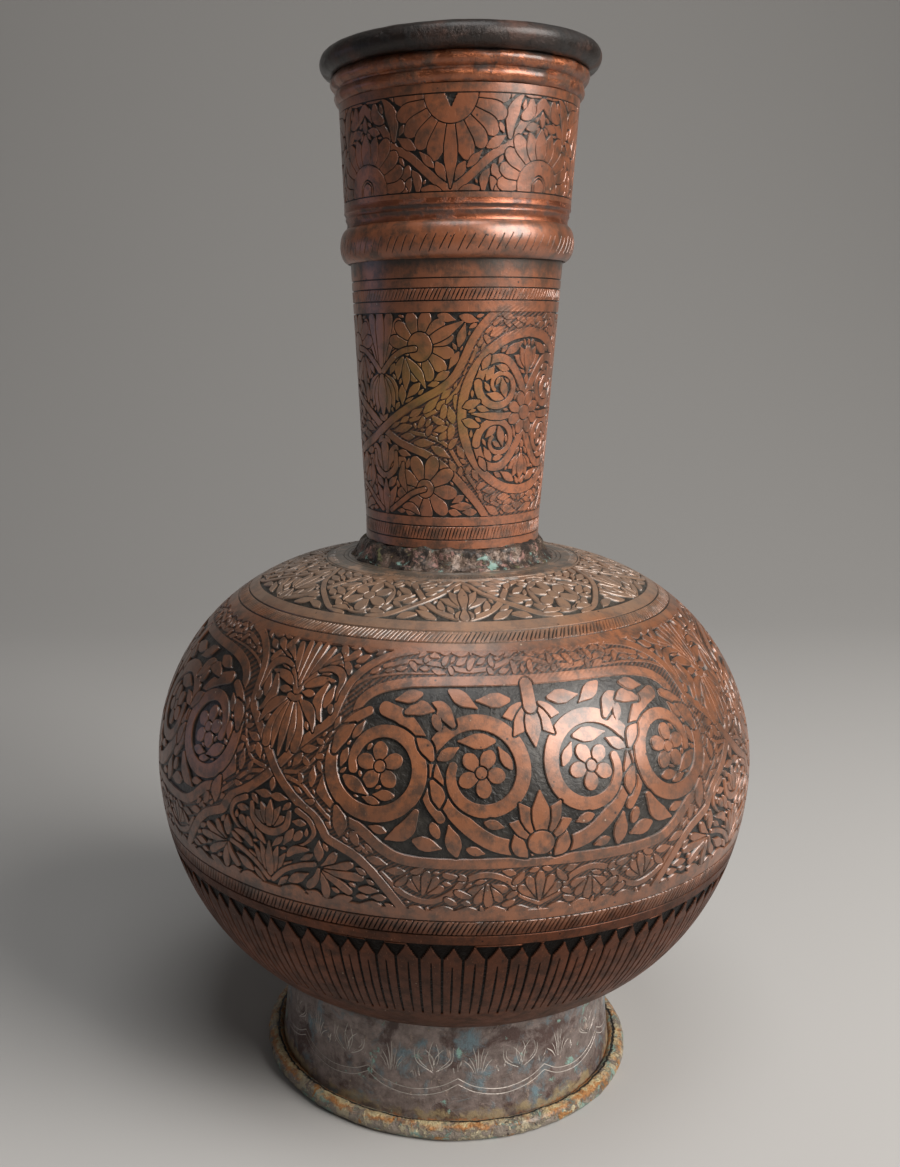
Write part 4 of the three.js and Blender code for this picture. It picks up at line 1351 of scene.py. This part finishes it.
def plain_metal(name, colours, patches, roughness, metallic, bump_mm, scratches=None, bands=(), seam=None,
                wax=0.3):
    """Worn metal: two base colours, then patches, each a colour, a size in mm and where it starts and ends.

    The bands are colour at one height, dirt and crusts on some pieces and painted shade where parts meet or overhang
    on others: its colour, then height, reach, strength and raggedness."""
    material = bpy.data.materials.new(name)
    node = new_nodes(material)
    where = node("ShaderNodeTexCoord", out="Object")
    mottle, grain = (
        node("ShaderNodeTexNoise", {"Vector": where, "Scale": per_mm(size), "Detail": detail, "Roughness": rough})
        for size, detail, rough in ((5, 7, 0.72), (1.3, 4, 0.6)))
    crusts_and_shades = []
    for k, (shade, patch_mm, low, high) in enumerate(patches):
        moved = node("ShaderNodeMapping", {"Vector": where, "Location": (0.13 * (k + 1), 0.07 * k, 0.05 * k)})
        patch = node("ShaderNodeTexNoise", {"Vector": moved, "Scale": per_mm(patch_mm), "Detail": 9,
                                            "Roughness": 0.68, "Distortion": 0.4})
        crusts_and_shades.append((node("ShaderNodeMapRange", {"Value": patch, 1: low, 2: high}), shade))
    apart = node("ShaderNodeSeparateXYZ", {0: where}).node.outputs if bands or seam else None
    if bands:
        drift = node("ShaderNodeTexNoise", {"Vector": where, "Scale": per_mm(18), "Detail": 6, "Roughness": 0.65})
        broken = node("ShaderNodeMapRange", {"Value": drift, 1: 0.45, 2: 0.53})
    # Each band is real dirt or crust on some pieces, and painted shade where parts meet or overhang on others
    for shade, middle, reach_mm, strength, ragged in bands:
        near = ragged_band(node, apart["Z"], mottle, ragged, middle, reach_mm, reach_mm * 0.3, strength)
        crusts_and_shades.append((node("ShaderNodeMath", {0: near, 1: broken}, operation="MULTIPLY"), shade))
    crust_and_shade = 0.0
    for amount, _ in crusts_and_shades:
        crust_and_shade = node("ShaderNodeMath", {0: crust_and_shade, 1: amount}, operation="MAXIMUM")
    gritty = node("ShaderNodeMath", {0: crust_and_shade, 1: grain}, operation="MULTIPLY")
    relief = node("ShaderNodeMath", {0: gritty, 1: 0.9, 2: mottle}, operation="MULTIPLY_ADD")
    blend = node("ShaderNodeMapRange", {"Value": mottle, 1: 0.35, 2: 0.65})
    layers = [(blend, colours[1])] + crusts_and_shades
    if scratches:
        layers.append((node("ShaderNodeAttribute", out="Fac", attribute_name="cut"), scratches))
    if seam:
        # A crack that runs round at one radius
        flat = node("ShaderNodeCombineXYZ", {0: apart["X"], 1: apart["Y"]})
        radius = node("ShaderNodeVectorMath", {0: flat}, "Value", operation="LENGTH")
        above = node("ShaderNodeMapRange", {"Value": apart["Z"], 1: 3.5 * MM, 2: 4.5 * MM})
        crack = ragged_band(node, radius, mottle, 4.5, seam, 0.7, 0.35)
        crack = node("ShaderNodeMath", {0: crack, 1: above}, operation="MULTIPLY")
        layers.append((crack, CRACK))
        relief = node("ShaderNodeMath", {0: crack, 1: -1.2, 2: relief}, operation="MULTIPLY_ADD")
    metal_surface(node, relief, bump_mm, 0.9, 1.5, coat_weight=wax,
                  base_color=layered(node, linear(colours[0]), [(amount, linear(shade)) for amount, shade in layers]),
                  roughness=node("ShaderNodeMapRange", {"Value": crust_and_shade, 3: roughness, 4: 0.8}),
                  metallic=node("ShaderNodeMapRange", {"Value": crust_and_shade, 3: metallic, 4: 0.05}))
    return material


# Copper roll, nearly black-brown, partly as painted shade on its underside and a painted dark reflection, with a satin
# gleam and a few warm rubs
dark_roll = plain_metal(
    "rolled copper, dark with painted shade", ("#191310", "#2a1e18"), [("#4f3022", 18, 0.52, 0.7), ("#0f0c0a", 20, 0.5, 0.64)],
    0.32, 0.5, 0.8, wax=0.4)
# Copper collar beaten outward: orange-brown where it is rubbed; its dark bands are painted shade with some dirt, near
# black under the lip, dark in its groove and where it meets the cup
collar_metal = plain_metal(
    "beaten copper, orange", ("#84492c", "#a3603b"), [("#57351f", 12, 0.5, 0.6), ("#2a211c", 8, 0.6, 0.68)],
    0.34, 0.85, 0.7, wax=0.9, bands=[
        ("#171412", 411.4, 2.6, 0.95, 3), ("#1f1916", 405.6, 1.5, 0.85, 4), ("#35251b", 401.2, 1.2, 0.6, 3)])
# Copper turned to a bulge and a groove: the same orange, darkened in the groove by painted shade with some dirt
base_metal = plain_metal(
    "turned copper, orange", ("#84492f", "#9b5a39"), [("#55362a", 12, 0.52, 0.62)],
    0.34, 0.85, 0.5, wax=0.7, bands=[("#1f1813", 362.0, 1.0, 0.8, 1.6), ("#2c211a", 360.0, 1.2, 0.75, 3)])
# Soft solder run round the neck in lumps: brown, pinkish where it is rubbed, with green verdigris in its hollows, and
# a band of painted shade in the crease where it meets the neck
solder_metal = plain_metal(
    "soft solder, weathered", ("#4b3d34", "#705e52"), [
        ("#231a14", 5.5, 0.5, 0.56), ("#8f6c62", 6, 0.56, 0.61), ("#7b978d", 5, 0.58, 0.63),
        ("#6a6847", 5, 0.6, 0.66), ("#a9946c", 3.5, 0.64, 0.68)],
    0.32, 0.6, 0.8, bands=[("#17130f", 237.6, 0.9, 0.8, 2)])
# Thin copper wall gone violet-brown, with a blue-green bloom, specks of lime and pale scratched drawing; painted shade
# darkens its top under the body, and pale dirt and rust gather at its foot
foot_metal = plain_metal(
    "thin sheet copper, weathered", ("#62554f", "#93847e"), [
        ("#4c3731", 22, 0.5, 0.58), ("#677b82", 15, 0.53, 0.64), ("#86a99d", 9, 0.61, 0.66),
        ("#9b887c", 7, 0.6, 0.68), ("#b5a686", 2.4, 0.67, 0.7)],
    0.44, 0.5, 0.6, scratches="#c9c2ba", bands=[
        ("#43342c", 48.0, 3.4, 0.85, 5), ("#a3906a", 7.5, 3.5, 0.7, 16), ("#b5733a", 4.6, 1.6, 0.95, 9)])
# The same copper rolled over iron: rust from the wire, lime and verdigris break through in crusts
hem_metal = plain_metal(
    "rolled copper, rust and verdigris", ("#786e66", "#a39687"), [
        ("#b3a78c", 6, 0.5, 0.54), ("#8ba598", 8, 0.54, 0.58), ("#b07c45", 9, 0.57, 0.6),
        ("#d6c9a6", 3, 0.57, 0.61), ("#3a2f29", 3.5, 0.61, 0.65)],
    0.55, 0.25, 2.2, seam=78.6, bands=[("#c08245", 6.8, 1.5, 0.9, 8), ("#d8c99c", 7.5, 0.8, 0.85, 6)])
# Iron wire drawn through a plate: matt brown rust with orange patches
rusty_iron = plain_metal(
    "drawn iron wire, rusted", ("#5b4a3e", "#6e5440"), [("#8a5a35", 6, 0.5, 0.65)], 0.7, 0.6, 0.6)
# Copper as the hammer left it inside, where nobody cleans: dull brown with dark and greenish patches
inner_copper = plain_metal(
    "beaten copper, inside", ("#6a4a3a", "#5a4136"), [("#3a2f29", 25, 0.45, 0.65), ("#5f6f63", 20, 0.62, 0.74)],
    0.5, 0.9, 0.5)

# Each piece with its material, the solids whose place it takes, and its colour group
for piece, material, node_names, slot_name in (
        (shoulder, shoulder_copper, ("body_shoulder",), "copper"),
        (main_frieze, body_copper, ("body_bowl", "body_shoulder"), "copper"),
        (lower_body, skirt_copper, ("body_bowl",), "copper"),
        (bowl_bottom, skirt_copper, ("body_bowl",), "copper"),
        (inner_collar, inner_copper, ("body_shoulder",), "copper"),
        (neck_relief, neck_copper, ("neck_tube",), "neck_copper"),
        (collar_ring, cup_copper, ("neck_ring",), "mouth_copper"),
        (cup_frieze, cup_copper, ("neck_cup",), "mouth_copper"),
        (cup_base, base_metal, ("neck_cup",), "mouth_copper"),
        (cup_collar, collar_metal, ("neck_cup",), "mouth_copper"),
        (lip, dark_roll, ("mouth_rim",), "dark_copper"),
        (neck_fillet, solder_metal, ("neck_solder",), "solder"),
        (foot_wall, foot_metal, ("foot",), "worn_copper"),
        (hem, hem_metal, ("foot",), "worn_copper")):
    piece.data.materials.clear()
    piece.data.materials.append(material)
    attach(piece, "root")
    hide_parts(*node_names)
# Solids that stay as they are and only get a material
for name, material in (("rim_wire", rusty_iron), ("foot_hem_wire", rusty_iron), ("foot_solder", solder_metal),
                       ("body_seam_braze", solder_metal)):
    solid = frame["nodes"][name]
    solid = solid if isinstance(solid, bpy.types.Object) else bpy.data.objects[name]
    for part in [solid, *solid.children_recursive]:
        if part.type == "MESH":
            part.data.materials.clear()
            part.data.materials.append(material)


# Floor, light and camera

def select_edges(piece, wanted):
    """Selects the edges whose two ends are both wanted, and leaves the piece being edited."""
    bpy.ops.object.mode_set(mode="OBJECT")
    for edge in piece.data.edges:
        edge.select = all(wanted(piece.data.vertices[v].co) for v in edge.vertices)
    bpy.ops.object.mode_set(mode="EDIT")


# A sheet of paper that lies on the table and curves up behind, in metres: its length, how far its middle lies
# before the vase, how high it rises, and its curve
PAPER, PAPER_NEAR, PAPER_RISE, PAPER_CURVE = 12, 4, 5, 1.2
start_fresh()
bpy.ops.mesh.primitive_plane_add(size=PAPER, location=(0, -PAPER_NEAR, 0))
floor = bpy.context.object
floor.name = "floor"
bpy.ops.object.mode_set(mode="EDIT")
bpy.ops.mesh.select_all(action="DESELECT")
bpy.ops.mesh.select_mode(type="EDGE")
select_edges(floor, lambda co: co.y > PAPER / 2 - 0.1)
bpy.ops.mesh.extrude_edges_move(TRANSFORM_OT_translate={"value": (0, 0, PAPER_RISE)})
bpy.ops.mesh.select_mode(type="EDGE")
select_edges(floor, lambda co: abs(co.y - PAPER / 2) < 0.01 and co.z < 0.01)
bpy.ops.mesh.bevel(offset=PAPER_CURVE, segments=16, affect="EDGES")
bpy.ops.object.mode_set(mode="OBJECT")
settle(floor, "floor", 60)
# Pale matt paper
material = bpy.data.materials.new("pale paper floor")
node = new_nodes(material)
paper = node("ShaderNodeBsdfPrincipled", {"Base Color": linear("#b4b3b1"), "Roughness": 0.9})
node("ShaderNodeOutputMaterial", {"Surface": paper})
floor.data.materials.append(material)

world = bpy.data.worlds.new("grey studio")
bpy.context.scene.world = world
node = new_nodes(world)
grey = node("ShaderNodeBackground", {"Color": linear("#8f8d8b"), "Strength": 0.34})
node("ShaderNodeOutputWorld", {"Surface": grey})

# Square lights that face the middle of the vase: degrees round and up, metres away and across, watts
for name, azimuth, elevation, distance, size, power, colour in (
        ("key", 54, 32, 1.5, 0.9, 33, "#fffaf5"), ("top", 5, 74, 1.4, 0.7, 7, "#ffffff"),
        ("fill", -105, -4, 1.6, 0.8, 1.0, "#d4d3f8")):
    data = bpy.data.lights.new(name, "AREA")
    data.size, data.energy, data.color = size, power, linear(colour)[:3]
    light = bpy.data.objects.new(name, data)
    bpy.context.scene.collection.objects.link(light)
    a, e = math.radians(azimuth), math.radians(elevation)
    way = np.array([math.sin(a) * math.cos(e), -math.cos(a) * math.cos(e), math.sin(e)])
    light.matrix_world = Matrix.Translation((*(way * distance + [0, 0, 0.2]),)) @ (
        Matrix.Rotation(a, 4, "Z") @ Matrix.Rotation(math.pi / 2 - e, 4, "X"))
    light.visible_camera = False

# The camera stands where the photographer's did, by the ellipses of the foot, the belly, the ring and the lip
CAMERA_PLACE, CAMERA_TILT, CAMERA_ROLL = (-40.9, -493, 319), 73.37, -0.47
camera_data = bpy.data.cameras.new("camera")
camera_data.lens, camera_data.shift_x, camera_data.shift_y = 36.43, 0.0809, 0.0868
camera = bpy.data.objects.new("camera", camera_data)
bpy.context.scene.collection.objects.link(camera)
camera.matrix_world = (Matrix.Translation([v * MM for v in CAMERA_PLACE])
                       @ Matrix.Rotation(math.radians(CAMERA_TILT), 4, "X")
                       @ Matrix.Rotation(math.radians(CAMERA_ROLL), 4, "Z"))
bpy.context.scene.camera = camera
bpy.context.scene.view_settings.view_transform = "Standard"
